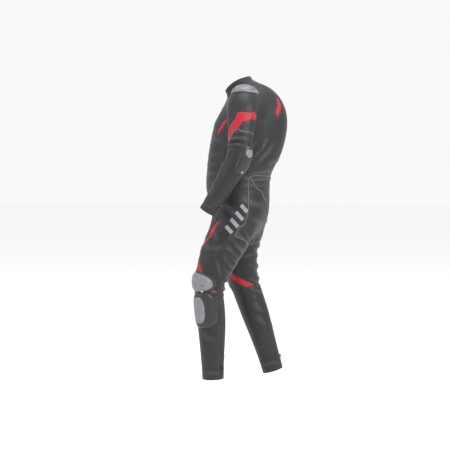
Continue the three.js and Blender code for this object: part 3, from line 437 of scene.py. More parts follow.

# %% [markdown]
# Worn leather doesn't wrinkle at random. It folds where a joint bends and where a panel has length
# to spare: in fans across the back of the thigh, above the elbow, behind the knee and at the waist.
# So the creases are listed one by one, each as a short line with its own height and width, and the
# cloth is raised to a soft ridge along it, with a shallow hollow on both sides. A negative height
# makes a trough. They fade out at both ends.

# %% The creases
# Height and half width in mm, then the places: turn and height on the limb.
creases = {
    "leg_left": [
        # the fan on the back of the thigh
        (3.6, 8, [(139, -578), (152, -598), (160, -618), (164, -641)]),
        (3.4, 7, [(108, -594), (128, -598), (146, -612), (160, -636)]),
        (4.4, 8, [(106, -612), (133, -642), (157, -672), (176, -705)]),
        (3.8, 8, [(103, -650), (129, -675), (150, -697), (166, -716)]),
        (4.6, 9, [(110, -682), (126, -716), (152, -747), (178, -765)]),
        (3.6, 7, [(128, -692), (148, -715), (178, -737)]),
        (4.0, 9, [(95, -714), (115, -754), (138, -803)]),
        (3.0, 8, [(121, -742), (142, -768), (168, -782)]),
        (3.2, 8, [(168, -652), (186, -676), (204, -690)]),
        (-3.0, 7, [(112, -634), (136, -662), (158, -694)]),
        (-3.0, 7, [(118, -702), (138, -728), (164, -750)]),
        # the inner thigh
        (3.2, 9, [(196, -706), (222, -735), (252, -748)]),
        (3.0, 9, [(204, -656), (232, -676), (258, -684)]),
        (2.8, 8, [(214, -766), (244, -778), (268, -772)]),
        # behind the knee
        (4.0, 9, [(140, -790), (168, -813), (200, -825), (232, -808)]),
        (-3.2, 7, [(146, -826), (178, -838), (212, -836)]),
        (4.0, 9, [(144, -848), (178, -867), (214, -863)]),
        (3.0, 8, [(150, -886), (184, -894), (222, -884)]),
        # calf and shin
        (2.2, 12, [(120, -905), (150, -922), (176, -926)]),
        (1.8, 14, [(60, -1060), (88, -1090), (118, -1102)]),
        (2.0, 12, [(212, -960), (240, -990), (262, -1004)]),
        (1.8, 13, [(130, -1180), (166, -1192), (204, -1186)]),
        (2.2, 10, [(40, -1262), (96, -1254), (150, -1264)]),
        (2.2, 10, [(190, -1252), (250, -1262), (300, -1254)]),
        # hip to thigh front
        (3.0, 14, [(20, -560), (52, -590), (76, -632)]),
        (2.6, 13, [(4, -604), (34, -636), (60, -676)]),
        (2.4, 13, [(338, -640), (8, -668), (34, -700)]),
    ],
    "leg_right": [
        (3.4, 9, [(122, -630), (150, -655), (182, -676)]),
        (3.2, 8, [(112, -682), (146, -708), (180, -722)]),
        (3.0, 8, [(128, -662), (152, -682), (176, -700)]),
        (2.8, 9, [(196, -640), (226, -656), (254, -664)]),
        (3.0, 9, [(200, -700), (232, -716), (262, -720)]),
        (3.8, 9, [(140, -764), (172, -772), (204, -774), (238, -754)]),
        (-2.8, 7, [(146, -790), (180, -800), (222, -792)]),
        (4.0, 9, [(138, -822), (174, -836), (211, -842), (246, -820)]),
        (3.2, 8, [(150, -868), (184, -872), (224, -862)]),
        (3.4, 9, [(164, -884), (206, -894), (238, -880)]),
        (2.4, 12, [(254, -952), (236, -976), (212, -996)]),
        (2.4, 13, [(262, -1010), (240, -1036), (216, -1062)]),
        (2.0, 13, [(120, -1010), (148, -1040), (170, -1080)]),
        (1.8, 12, [(60, -1150), (110, -1168), (160, -1160)]),
        (2.2, 10, [(40, -1258), (100, -1250), (150, -1262)]),
        (2.2, 10, [(196, -1256), (250, -1248), (306, -1260)]),
        (2.8, 13, [(12, -548), (44, -574), (70, -612)]),
        (2.4, 13, [(350, -600), (24, -630), (56, -668)]),
        (2.2, 12, [(330, -660), (6, -690), (40, -712)]),
    ],
    "arm": [
        # above the elbow
        (3.4, 8, [(36, -164), (60, -152), (90, -148), (122, -156), (146, -168)]),
        (3.2, 7, [(20, -196), (50, -182), (82, -178), (108, -186)]),
        (2.6, 7, [(30, -216), (58, -200), (84, -198)]),
        (-2.6, 6, [(40, -176), (70, -166), (104, -166)]),
        (2.6, 9, [(44, -118), (84, -126), (118, -118)]),
        # the inside of the elbow
        (3.8, 8, [(-66, -256), (-30, -270), (8, -272), (30, -262)]),
        (3.4, 8, [(-72, -286), (-36, -292), (0, -296), (26, -290)]),
        (3.6, 8, [(-54, -306), (-16, -314), (22, -308)]),
        (-3.0, 6, [(-58, -276), (-20, -283), (18, -280)]),
        (2.6, 8, [(-100, -240), (-84, -262), (-60, -274)]),
        # under the arm and down the forearm
        (3.0, 9, [(196, -86), (224, -104), (258, -112)]),
        (2.6, 9, [(204, -124), (234, -140), (266, -144)]),
        (2.4, 10, [(214, -170), (240, -182), (268, -184)]),
        (2.0, 12, [(20, -350), (46, -380), (60, -412)]),
        (1.8, 12, [(-40, -360), (-20, -392), (-8, -424)]),
        (2.0, 9, [(30, -452), (90, -462), (140, -456)]),
    ],
    "trunk": [
        # the waist
        (4.0, 9, [(108, -322), (124, -314), (140, -304), (160, -292)]),
        (3.4, 9, [(104, -344), (126, -342), (150, -336), (178, -336)]),
        (3.2, 10, [(98, -372), (126, -368), (156, -360)]),
        (-2.8, 8, [(112, -332), (136, -322), (160, -314)]),
        (3.0, 11, [(60, -330), (84, -322), (104, -326)]),
        (2.8, 11, [(20, -318), (44, -312), (70, -322)]),
        (2.6, 11, [(34, -350), (60, -356), (84, -352)]),
        # the slack side, from the waist up to the shoulder blade
        (3.6, 11, [(112, -262), (126, -226), (138, -184), (146, -140)]),
        (3.4, 11, [(122, -276), (136, -242), (148, -204), (156, -160)]),
        (3.2, 10, [(104, -230), (116, -196), (128, -156)]),
        (2.8, 12, [(150, -270), (162, -252), (176, -244)]),
        # the chest and the stomach, which crease as the body bends
        (2.8, 14, [(14, -220), (38, -228), (64, -218)]),
        (2.6, 13, [(10, -262), (34, -270), (60, -262)]),
        (2.6, 15, [(24, -120), (44, -148), (66, -160)]),
        (2.2, 15, [(20, -60), (36, -84), (48, -112)]),
        # the seat and the hips
        (3.0, 15, [(96, -430), (122, -452), (150, -462)]),
        (2.8, 14, [(62, -440), (84, -474), (98, -512)]),
        (3.0, 13, [(24, -470), (44, -496), (62, -532)]),
        (2.6, 14, [(118, -520), (140, -544), (160, -560)]),
    ],
}
for limb in ("arm", "trunk"):
    creases[f"{limb}_left"] = creases[f"{limb}_right"] = creases.pop(limb)


def nearest_on_run(run, around):
    """For each point: its distance to a line, and the share of the line's length at that place."""
    best = np.full(len(around), np.inf)
    share = np.zeros(len(around))
    for i, (a, b) in enumerate(zip(run, run[1:])):
        part = b - a
        t = np.clip((around - a) @ part / max(part @ part, 1e-12), 0, 1)
        away = np.linalg.norm(around - a - t[:, None] * part, axis=1)
        closer = away < best
        best[closer] = away[closer]
        share[closer] = (i + t[closer]) / (len(run) - 1)
    return best, share


# The hollow beside a crease: its share of the height, and its place in half widths.
hollow_share, hollow_at = 0.42, 1.9
crease_reach = 4.5  # half widths
lift = np.zeros(len(points))
for limb, lines in creases.items():
    for height, half_width, places in lines:
        run = np.array([p for p, _ in run_on_cloth(limb, places, 8 * mm)])
        reach = crease_reach * half_width * mm
        near = np.flatnonzero(((points > run.min(0) - reach) & (points < run.max(0) + reach)).all(1))
        away, share = nearest_on_run(run, points[near])
        d = away / (half_width * mm)
        fade = np.clip(np.sin(math.pi * share), 0, 1) ** 0.6
        across = np.exp(-d ** 2) - hollow_share * np.exp(-(d - hollow_at) ** 2)
        lift[near] += height * fade * across
print(sum(len(lines) for lines in creases.values()), "creases lift the cloth by",
      f"{lift.min():.1f} to {lift.max():.1f} mm")

# %% [markdown]
# A seam is where two panels turn their edges in and are sewn together. It lies in a small valley
# between two puffed edges. The seam lines are the edges of the fine mesh that have a different
# panel on each side, and the open edges. How far each point is from them decides how deep it sinks.

# %% Find the seams
ahead = np.roll(face_corners, -1, axis=1)
low_end = np.minimum(face_corners, ahead).ravel()
high_end = np.maximum(face_corners, ahead).ravel()
edge_ids, edge_of, uses = np.unique(
    low_end * len(points) + high_end, return_inverse=True, return_counts=True,
)
edge_ends = np.stack([edge_ids // len(points), edge_ids % len(points)], axis=1)
face_repeat = np.repeat(face_numbers, 4)
least = np.full(len(edge_ids), 10 ** 6)
most = np.full(len(edge_ids), -1)
np.minimum.at(least, edge_of, face_repeat)
np.maximum.at(most, edge_of, face_repeat)
is_open = uses == 1
is_seam = is_open | (least != most)
seam_tree = KDTree(int(is_seam.sum()) * 2)
for i, v in enumerate(edge_ends[is_seam].ravel()):
    seam_tree.insert(points[v], i)
seam_tree.balance()
from_seam = np.array([seam_tree.find(p)[2] for p in points]) / mm
valley, valley_half = 1.5, 2.6  # its depth and half width in mm
puff, puff_at, puff_half = 0.5, 8, 4  # its height, place and half width in mm
sink = -valley * np.exp(-((from_seam / valley_half) ** 2))
sink += puff * np.exp(-(((from_seam - puff_at) / puff_half) ** 2))
calm = np.clip(from_seam / 10, 0.35, 1)
shaped = points + normals * ((lift * calm + sink) * mm)[:, None]
print("seam edges:", int((is_seam & ~is_open).sum()), "open edges:", int(is_open.sum()))

# %% [markdown]
# Finishes share a few effects, so each effect is a node group of its own: the grain of a hide, the
# small wrinkles that wear leaves in it, a painted highlight on its ridges with painted shade in its
# valleys and seams, and the ribs of stretch cloth. A group has named inputs, and gives heights and
# masks that vary over the surface. It's built once and set differently in each material.

# %% Helpers for node groups and materials
def new_group(name, inputs, outputs):
    """An empty effect with named number inputs and outputs."""
    group = bpy.data.node_groups.new(name, "ShaderNodeTree")
    for label, value in inputs.items():
        socket = group.interface.new_socket(name=label, in_out="INPUT", socket_type="NodeSocketFloat")
        socket.default_value = value
    for label in outputs:
        group.interface.new_socket(name=label, in_out="OUTPUT", socket_type="NodeSocketFloat")
    return group, group.nodes.new("NodeGroupInput"), group.nodes.new("NodeGroupOutput")


def maths(tree, operation, first, second=None, clamp=False):
    """A Math node between two sockets or numbers; returns its output."""
    node = tree.nodes.new("ShaderNodeMath")
    node.operation = operation
    node.use_clamp = clamp
    for socket, value in zip(node.inputs, (first, second)):
        if isinstance(value, bpy.types.NodeSocket):
            tree.links.new(value, socket)
        elif value is not None:
            socket.default_value = value
    return node.outputs[0]


def noise(tree, vector, scale, detail=2.0, rough=0.5):
    """A Noise Texture's height at a scale per metre."""
    node = tree.nodes.new("ShaderNodeTexNoise")
    node.inputs["Detail"].default_value = detail
    node.inputs["Roughness"].default_value = rough
    tree.links.new(vector, node.inputs["Vector"])
    if isinstance(scale, bpy.types.NodeSocket):
        tree.links.new(scale, node.inputs["Scale"])
    else:
        node.inputs["Scale"].default_value = scale
    return node.outputs["Fac"]


def object_place(tree):
    return tree.nodes.new("ShaderNodeTexCoord").outputs["Object"]


def attribute(tree, name):
    node = tree.nodes.new("ShaderNodeAttribute")
    node.attribute_name = name
    return node.outputs["Fac"]


print("node helpers are ready")

# %% [markdown]
# Cowhide has pores in small uneven cells about a millimetre and a half across. A Voronoi texture
# draws cells of that kind, and a finer noise breaks them up. The broad tone comes from how
# unevenly a hide takes dye.

# %% The grain of a hide
hide_grain, taken, given = new_group("hide_grain", {"Cells per metre": 620.0}, ["Height", "Tone"])
place = object_place(hide_grain)
cells = hide_grain.nodes.new("ShaderNodeTexVoronoi")
cells.feature = "SMOOTH_F1"
hide_grain.links.new(place, cells.inputs["Vector"])
hide_grain.links.new(taken.outputs["Cells per metre"], cells.inputs["Scale"])
pebble = maths(hide_grain, "MULTIPLY", cells.outputs["Distance"], 0.7)
fine_grain = maths(hide_grain, "MULTIPLY", noise(hide_grain, place, 1400.0), 0.3)
hide_grain.links.new(maths(hide_grain, "ADD", pebble, fine_grain), given.inputs["Height"])
broad = noise(hide_grain, place, 7.0, 3.0)
patchy = noise(hide_grain, place, 60.0, 2.0)
tone = maths(
    hide_grain, "ADD",
    maths(hide_grain, "MULTIPLY", broad, 0.65), maths(hide_grain, "MULTIPLY", patchy, 0.35),
)
hide_grain.links.new(tone, given.inputs["Tone"])
print("hide_grain:", len(hide_grain.nodes), "nodes")

# %% [markdown]
# Between the large creases, worn leather has a web of small ones that are too fine to model. Where
# a noise crosses its middle value it leaves thin winding lines, and those are the wrinkles.

# %% Small wrinkles
small_wrinkles, taken, given = new_group("small_wrinkles", {"Lines per metre": 34.0}, ["Height"])
place = object_place(small_wrinkles)
winding = noise(small_wrinkles, place, taken.outputs["Lines per metre"], 3.0, 0.45)
off_middle = maths(small_wrinkles, "ABSOLUTE", maths(small_wrinkles, "SUBTRACT", winding, 0.5))
line = maths(small_wrinkles, "MULTIPLY", off_middle, 9.0, clamp=True)
small_wrinkles.links.new(maths(small_wrinkles, "POWER", line, 0.6), given.inputs["Height"])
print("small_wrinkles:", len(small_wrinkles.nodes), "nodes")

# %% [markdown]
# The tops of folds and the puffed edges of seams are painted paler as a highlight, and the valleys
# and the seams are painted darker as shade. The panels carry both values as attributes: how high a
# crease lifts a point, and how near a seam is. A noise keeps the painted highlight uneven.

# %% Painted highlights on ridges and painted shade in valleys
painted_light_and_shade, taken, given = new_group("painted_light_and_shade", {"Ridge": 0.8, "Seam": 0.7}, ["Pale", "Dark"])
place = object_place(painted_light_and_shade)
uneven = maths(painted_light_and_shade, "ADD", noise(painted_light_and_shade, place, 30.0, 3.0), 0.35)
relief_now = attribute(painted_light_and_shade, "relief")
seam_now = attribute(painted_light_and_shade, "near_seam")
# Painted highlight: the crests of creases and the band beside each seam turn paler.
crest = maths(painted_light_and_shade, "MULTIPLY", maths(painted_light_and_shade, "MAXIMUM", relief_now, 0.0), taken.outputs["Ridge"])
edge_band = maths(painted_light_and_shade, "MULTIPLY", maths(painted_light_and_shade, "PINGPONG", seam_now, 0.35), 0.5)
pale = maths(painted_light_and_shade, "MULTIPLY", maths(painted_light_and_shade, "ADD", crest, edge_band), uneven, clamp=True)
painted_light_and_shade.links.new(pale, given.inputs["Pale"])
# Painted shade: the valleys of creases and the seams themselves turn darker.
hollow = maths(painted_light_and_shade, "MAXIMUM", maths(painted_light_and_shade, "MULTIPLY", relief_now, -1.2), 0.0)
seam_shade = maths(painted_light_and_shade, "MULTIPLY", maths(painted_light_and_shade, "POWER", seam_now, 3.0), taken.outputs["Seam"])
painted_light_and_shade.links.new(maths(painted_light_and_shade, "ADD", hollow, seam_shade, clamp=True), given.inputs["Dark"])
print("rubbing:", len(painted_light_and_shade.nodes), "nodes")

# %% [markdown]
# The stretch cloth is a ribbed weave. Its ribs follow the panel, so they are drawn on the layout,
# which is in metres: a sine along one side makes the ribs, and a much finer one across them makes
# the yarn.

# %% Ribs of stretch cloth
stretch_ribs, taken, given = new_group("stretch_ribs", {"Rib pitch": 0.0045}, ["Height", "Tone"])
layout = stretch_ribs.nodes.new("ShaderNodeUVMap")
layout.uv_map = "cut"
parts = stretch_ribs.nodes.new("ShaderNodeSeparateXYZ")
stretch_ribs.links.new(layout.outputs["UV"], parts.inputs["Vector"])
count = maths(stretch_ribs, "DIVIDE", parts.outputs["Y"], taken.outputs["Rib pitch"])
rib = maths(stretch_ribs, "PINGPONG", count, 0.5)
rounded = maths(stretch_ribs, "POWER", maths(stretch_ribs, "MULTIPLY", rib, 2.0), 0.6)
yarn = maths(stretch_ribs, "PINGPONG", maths(stretch_ribs, "MULTIPLY", parts.outputs["X"], 900.0), 0.5)
height = maths(stretch_ribs, "ADD", rounded, maths(stretch_ribs, "MULTIPLY", yarn, 0.35))
stretch_ribs.links.new(height, given.inputs["Height"])
stretch_ribs.links.new(noise(stretch_ribs, object_place(stretch_ribs), 12.0, 3.0), given.inputs["Tone"])
print("stretch_ribs:", len(stretch_ribs.nodes), "nodes")

# %% [markdown]
# The finishes themselves are materials with one Principled shader each. What is the same all over
# is set on the shader's own socket, and only what varies is linked.

# %% Leather, stretch cloth and lining
finishes = {}


def new_finish(name, roughness, metallic=0.0):
    """A material with a Principled shader, ready for its links."""
    material = bpy.data.materials.new(name)
    material.use_nodes = True
    shader = material.node_tree.nodes["Principled BSDF"]
    shader.inputs["Roughness"].default_value = roughness
    shader.inputs["Metallic"].default_value = metallic
    finishes[name] = material
    return material.node_tree, shader


def place_group(tree, group, **values):
    node = tree.nodes.new("ShaderNodeGroup")
    node.node_tree = group
    for label, value in values.items():
        node.inputs[label.replace("_", " ")].default_value = value
    return node


def colour_mix(tree, share, low, high):
    """A colour between two, by a socket's value."""
    node = tree.nodes.new("ShaderNodeMix")
    node.data_type = "RGBA"
    tree.links.new(share, node.inputs[0])
    for socket, value in zip(node.inputs[6:8], (low, high)):
        if isinstance(value, bpy.types.NodeSocket):
            tree.links.new(value, socket)
        else:
            socket.default_value = (*value, 1)
    return node.outputs[2]


def bump(tree, shader, *layers):
    """Stacks heights with their real depths in metres onto the shader's normal."""
    below = None
    for height, depth in layers:
        node = tree.nodes.new("ShaderNodeBump")
        node.inputs["Distance"].default_value = depth
        tree.links.new(height, node.inputs["Height"])
        if below is not None:
            tree.links.new(below, node.inputs["Normal"])
        below = node.outputs["Normal"]
    tree.links.new(below, shader.inputs["Normal"])


def roughness_between(tree, shader, share, low, high):
    node = tree.nodes.new("ShaderNodeMapRange")
    node.inputs["To Min"].default_value = low
    node.inputs["To Max"].default_value = high
    tree.links.new(share, node.inputs["Value"])
    tree.links.new(node.outputs["Result"], shader.inputs["Roughness"])


def leather_finish(name, dark, light, highlight_colour, groove, wrinkle_depth=0.5 * mm):
    """Dyed cowhide: two tones of the dye, a painted highlight colour and a painted shade colour."""
    tree, shader = new_finish(name, 0.45)
    grain = place_group(tree, hide_grain)
    wrinkles = place_group(tree, small_wrinkles)
    light_and_shade = place_group(tree, painted_light_and_shade)
    base = colour_mix(tree, grain.outputs["Tone"], dark, light)
    # Painted highlight on crests and seam edges, then painted shade in valleys and seams.
    base = colour_mix(tree, light_and_shade.outputs["Pale"], base, highlight_colour)
    base = colour_mix(tree, light_and_shade.outputs["Dark"], base, groove)
    tree.links.new(base, shader.inputs["Base Color"])
    roughness_between(tree, shader, grain.outputs["Tone"], 0.36, 0.56)
    shader.inputs["Specular IOR Level"].default_value = 0.34
    bump(tree, shader, (wrinkles.outputs["Height"], wrinkle_depth), (grain.outputs["Height"], 0.22 * mm))


def stretch_finish(name, dark, light, highlight_colour):
    """Matt ribbed stretch cloth, with a painted highlight colour."""
    tree, shader = new_finish(name, 0.8)
    ribs = place_group(tree, stretch_ribs)
    wrinkles = place_group(tree, small_wrinkles, Lines_per_metre=22.0)
    light_and_shade = place_group(tree, painted_light_and_shade, Ridge=1.0)
    base = colour_mix(tree, ribs.outputs["Tone"], dark, light)
    # Painted highlight on crests and seam edges.
    base = colour_mix(tree, light_and_shade.outputs["Pale"], base, highlight_colour)
    tree.links.new(base, shader.inputs["Base Color"])
    roughness_between(tree, shader, ribs.outputs["Tone"], 0.62, 0.85)
    shader.inputs["Sheen Weight"].default_value = 0.25
    shader.inputs["Sheen Roughness"].default_value = 0.4
    bump(tree, shader, (wrinkles.outputs["Height"], 0.6 * mm), (ribs.outputs["Height"], 0.35 * mm))


# The third colour of each leather is a painted highlight for crests and seam edges, the fourth a painted
# shade for valleys and seams. The stretch cloth's third colour is a painted highlight.
leather_finish(
    "leather",
    (0.010, 0.0105, 0.012), (0.021, 0.0215, 0.024), (0.075, 0.076, 0.082), (0.003, 0.003, 0.004),
)
leather_finish(
    "red_leather",
    (0.30, 0.006, 0.014), (0.42, 0.010, 0.022), (0.55, 0.05, 0.06), (0.10, 0.004, 0.008),
)
stretch_finish("stretch", (0.007, 0.007, 0.008), (0.013, 0.013, 0.015), (0.045, 0.045, 0.05))
tree, shader = new_finish("lining", 0.9)
lining_net = place_group(tree, stretch_ribs, Rib_pitch=0.003)
net_colour = colour_mix(tree, lining_net.outputs["Height"], (0.03, 0.03, 0.032), (0.10, 0.10, 0.105))
tree.links.new(net_colour, shader.inputs["Base Color"])
bump(tree, shader, (lining_net.outputs["Height"], 0.3 * mm))
print("finishes so far:", sorted(finishes))

# %% [markdown]
# Now each panel gets a mesh of its own, with its share of the layout. Two values go with every
# point: how near it is to a seam, and how far a crease lifts it. The finishes use them to paint a
# highlight on the ridges and seam edges and shade in the valleys and seams. Solidify gives the panel
# its thickness, inwards, and its inner side shows the lining at the neck, the cuffs and the legs.

# %% Cut the cloth into panels
cloth_thick = 1.7 * mm
near_seam = np.exp(-from_seam / 5)
relief = np.clip((lift * calm) / 5, -1, 1)
rest_shape = np.stack([near_seam, relief], axis=1)


def shade_by_angle(piece, degrees=40):
    """Smooth shading that leaves sharp turns sharp."""
    bpy.ops.object.select_all(action="DESELECT")
    piece.select_set(True)
    bpy.context.view_layer.objects.active = piece
    bpy.ops.object.shade_smooth_by_angle(angle=math.radians(degrees))


def cloth_panel(number, name, finish):
    """One panel of the sewn suit as a thin shell."""
    mine = np.flatnonzero(face_numbers == number)
    used, renumbered = np.unique(face_corners[mine], return_inverse=True)
    mesh = bpy.data.meshes.new(name)
    mesh.from_pydata(shaped[used].tolist(), [], renumbered.reshape(-1, 4).tolist())
    layout = mesh.uv_layers.new(name="cut")
    layout.data.foreach_set("uv", flat_corners[mine].ravel())
    for column, key in enumerate(("near_seam", "relief")):
        values = mesh.attributes.new(key, "FLOAT", "POINT")
        values.data.foreach_set("value", rest_shape[used, column])
    panel = bpy.data.objects.new(name, mesh)
    bpy.context.scene.collection.objects.link(panel)
    mesh.materials.append(finish)
    mesh.materials.append(finishes["lining"])
    bpy.ops.object.select_all(action="DESELECT")
    panel.select_set(True)
    bpy.context.view_layer.objects.active = panel
    wall = panel.modifiers.new("wall", "SOLIDIFY")
    wall.thickness = cloth_thick
    wall.offset = -1
    wall.material_offset = 1
    bpy.ops.object.modifier_apply(modifier="wall")
    shade_by_angle(panel, 50)
    return panel


stretch_starts = ("side", "thigh_back", "gusset", "calf", "sleeve_inner", "waist_band", "cuff", "collar")
red_starts = ("knee_band", "sleeve_band", "thigh_stripe", "chest_flash", "back_flash")
finish_of = {}
for name in panel_names:
    finish_of[name] = (
        "red_leather" if name.startswith(red_starts)
        else "stretch" if name.startswith(stretch_starts)
        else "leather"
    )
panels = {}
for number, name in enumerate(panel_names):
    panel = cloth_panel(number, f"panel_{name}", finishes[finish_of[name]])
    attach(panel, "suit")
    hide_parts(name)
    panels[name] = panel
print(len(panels), "panels cut;", sum(len(p.data.polygons) for p in panels.values()), "faces in all")

# %% [markdown]
# The hard parts are moulded plastic, the teeth and studs are metal, and the seams are sewn with a
# thick grey thread. All of these are plain materials with a slight unevenness in colour, gloss and
# height, so one helper makes them with different values.

# %% Plastic, metal, thread and piping
def plain_finish(name, dark, light, glossy, matt, metallic=0.0, marks=120.0):
    """A hard or wound material: two tones, an uneven gloss and fine marks."""
    tree, shader = new_finish(name, matt, metallic)
    fine_marks = place_group(tree, small_wrinkles, Lines_per_metre=marks)
    cloudy = noise(tree, object_place(tree), 45.0, 4.0)
    tree.links.new(colour_mix(tree, cloudy, dark, light), shader.inputs["Base Color"])
    roughness_between(tree, shader, cloudy, glossy, matt)
    bump(tree, shader, (fine_marks.outputs["Height"], 0.08 * mm))


plain_finish("armour_black", (0.010, 0.010, 0.011), (0.022, 0.022, 0.024), 0.25, 0.45)
plain_finish("armour_grey", (0.12, 0.125, 0.135), (0.22, 0.225, 0.24), 0.28, 0.5)
plain_finish("bright_metal", (0.45, 0.46, 0.48), (0.75, 0.76, 0.78), 0.2, 0.4, metallic=1.0)
plain_finish("zip_metal", (0.05, 0.05, 0.055), (0.12, 0.12, 0.13), 0.3, 0.5, metallic=1.0)
plain_finish("thread", (0.05, 0.05, 0.055), (0.12, 0.12, 0.13), 0.5, 0.7, marks=600.0)
# The piping's pale grey is a painted highlight along its seams; the thigh bars use the same grey.
plain_finish("highlight_piping", (0.16, 0.165, 0.175), (0.30, 0.305, 0.32), 0.4, 0.6, marks=300.0)
plain_finish("tape", (0.008, 0.008, 0.009), (0.018, 0.018, 0.020), 0.6, 0.8, marks=500.0)
for name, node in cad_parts.items():
    if name.startswith("zip_"):
        for held in node.material_slots:
            held.material = finishes["zip_metal"]
skin = BVHTree.FromPolygons(shaped.tolist(), face_corners.tolist())
print("finishes:", sorted(finishes))

# %% [markdown]
# Each hard part of the armour is a rounded plate that rises in steps, like a shallow dome. It's
# modelled flat, where its outline is easy to see: a cylinder is drawn out to the outline, and its
# top face is inset and raised ring by ring. Then the finished plate is bent onto the limb.

# %% A rounded plate
def raised_plate(name, half, square, steps, finish, shift=(0, 0), base=1.5, around=40):
    """A plate lying flat. Sizes are in mm; each step is an inset and a rise of the top."""
    bpy.ops.object.select_all(action="DESELECT")
    bpy.ops.mesh.primitive_cylinder_add(vertices=around, radius=1, depth=2)
    made = bpy.context.active_object
    made.name = name
    for v in made.data.vertices:
        length = math.hypot(v.co.x, v.co.y)
        c, s = v.co.x / length, v.co.y / length
        out = (abs(c) ** square + abs(s) ** square) ** (-1 / square)
        level = base if v.co.z > 0 else base - 5
        v.co = Vector((out * c * half[0] + shift[0], out * s * half[1] + shift[1], level)) * mm
    bpy.ops.object.mode_set(mode="EDIT")
    bpy.ops.mesh.select_mode(type="FACE")
    bpy.ops.mesh.select_all(action="DESELECT")
    bpy.ops.object.mode_set(mode="OBJECT")
    top = max(made.data.polygons, key=lambda face: face.center.z)
    top.select = True
    bpy.ops.object.mode_set(mode="EDIT")
    for inset, rise in steps:
        bpy.ops.mesh.inset(thickness=inset * mm, depth=rise * mm)
    bpy.ops.mesh.poke()
    bpy.ops.object.mode_set(mode="OBJECT")
    made.data.materials.append(finish)
    return made


def joined(name, parts):
    """Several flat parts as one piece, each with its own finish."""
    bpy.ops.object.select_all(action="DESELECT")
    for part in parts:
        part.select_set(True)
    bpy.context.view_layer.objects.active = parts[0]
    bpy.ops.object.join()
    parts[0].name = name
    return parts[0]


def stud(x, y, base):
    """A small round metal stud."""
    steps = [(0.8, 1.2), (1.6, 0.5)]
    return raised_plate("stud", (4.5, 4.5), 2, steps, finishes["bright_metal"], (x, y), base, 12)


print("plate helpers are ready")

# %% [markdown]
# The four kinds of armour: a smooth grey cap with two slots on the shoulder, a long black slider
# with a round grey disc on the elbow, a broad cup over the knee, and a thick pad on the outer side
# of the shin with a worn grey face in a black frame.

# %% The armour, laid flat
black, grey, bright = (finishes[name] for name in ("armour_black", "armour_grey", "bright_metal"))


def shoulder_parts():
    cap_steps = [(2, 4), (5, 4), (8, 3), (9, 1.5), (7, 0.4)]
    foot = raised_plate("foot", (64, 42), 2.6, [(2, 1), (2, 0.3)], black)
    cap = raised_plate("cap", (60, 38), 2.6, cap_steps, grey)
    slots = [
        raised_plate("slot", (48 - 6 * i, 2.6), 4, [(0.8, 0.6)], black, (2, 6 + 17 * i), base, 24)
        for i, base in enumerate((14.0, 10.6))
    ]
    glints = [
        raised_plate("glint", (3, 5), 3, [(0.8, 0.8)], bright, (-55, y), 5, 12)
        for y in (-8, 14)
    ]
    return [foot, cap, *slots, *glints]


def elbow_parts():
    body = raised_plate("body", (34, 70), 3, [(3, 5), (5, 3), (8, 1.5), (9, 0.5)], black)
    disc = raised_plate("disc", (19, 19), 2, [(2, 2), (5, 0.6), (7, 0.2)], grey, (0, -34), 10)
    rails = [
        raised_plate("rail", (2.6, 22), 3, [(0.8, 1.4)], bright, (x, y), 7.5, 20)
        for x, y in ((-22, 12), (23, 4))
    ]
    return [body, disc, *rails, stud(0, 52, 10)]


def cup_parts():
    cup_steps = [(3, 7), (6, 4), (9, 2.5), (10, 1), (8, 0.3)]
    foot = raised_plate("foot", (74, 52), 2.8, [(3, 2), (3, 0.5)], black)
    cup = raised_plate("cup", (66, 44), 2.6, cup_steps, grey)
    ridge = raised_plate("ridge", (34, 5), 3, [(1.6, 1.6)], bright, (-14, -26), 12, 24)
    groove = raised_plate("groove", (50, 3), 3, [(1, 0.6)], black, (0, 8), 15.6, 24)
    return [foot, cup, ridge, groove, *(stud(x, 37, 8) for x in (-40, 0, 40))]


def puck_parts():
    rim_steps = [(3, 9), (6, 5), (7, 2), (6, 0.5)]
    pad_steps = [(3, 3), (7, 1.5), (8, 0.5)]
    rim = raised_plate("rim", (60, 88), 3.2, rim_steps, black)
    pad = raised_plate("pad", (30, 64), 3, pad_steps, grey, (-18, -2), 16.5)
    strip = raised_plate("strip", (12, 12), 4, [(1.5, 1.2)], bright, (28, 48), 12, 20)
    return [rim, pad, strip, *(stud(x, y, 13) for x, y in ((38, -60), (-38, 74)))]


print("four kinds of armour are ready to be made")

# %% [markdown]
# A plate is bent onto its limb by rays: every point of the flat plate is sent along the plate's own
# direction until it meets the cloth, and stands off it by the height that it had when flat.

# %% Lay the armour on the limbs
ray_start = 120 * mm  # above the plate's middle
miss_depth = 160 * mm  # where a ray that misses looks for the nearest cloth
own_way = 1.5  # how much more the plate's direction counts than the cloth's


def box_middle(node):
    low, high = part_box(node)
    return (Vector(low) + Vector(high)) / 2


def lay_on_cloth(piece, centre, outward, down, mirrored):
    """Bends a flat piece onto the cloth: x runs towards the back, y down the limb."""
    across = outward.cross(down).normalized() * (-1 if mirrored else 1)
    for v in piece.data.vertices:
        x, y, z = v.co
        start = centre + across * x + down * y + outward * ray_start
        hit, normal, _, away = surface.ray_cast(start, -outward)
        if hit is None or away > 2 * ray_start:
            hit, normal, _, _ = surface.find_nearest(start - outward * miss_depth)
        v.co = hit + (normal + outward * own_way).normalized() * z
    bpy.ops.object.select_all(action="DESELECT")
    piece.select_set(True)
    bpy.context.view_layer.objects.active = piece
    bpy.ops.object.mode_set(mode="EDIT")
    bpy.ops.mesh.select_all(action="SELECT")
    bpy.ops.mesh.normals_make_consistent(inside=False)
    bpy.ops.object.mode_set(mode="OBJECT")
    shade_by_angle(piece, 35)


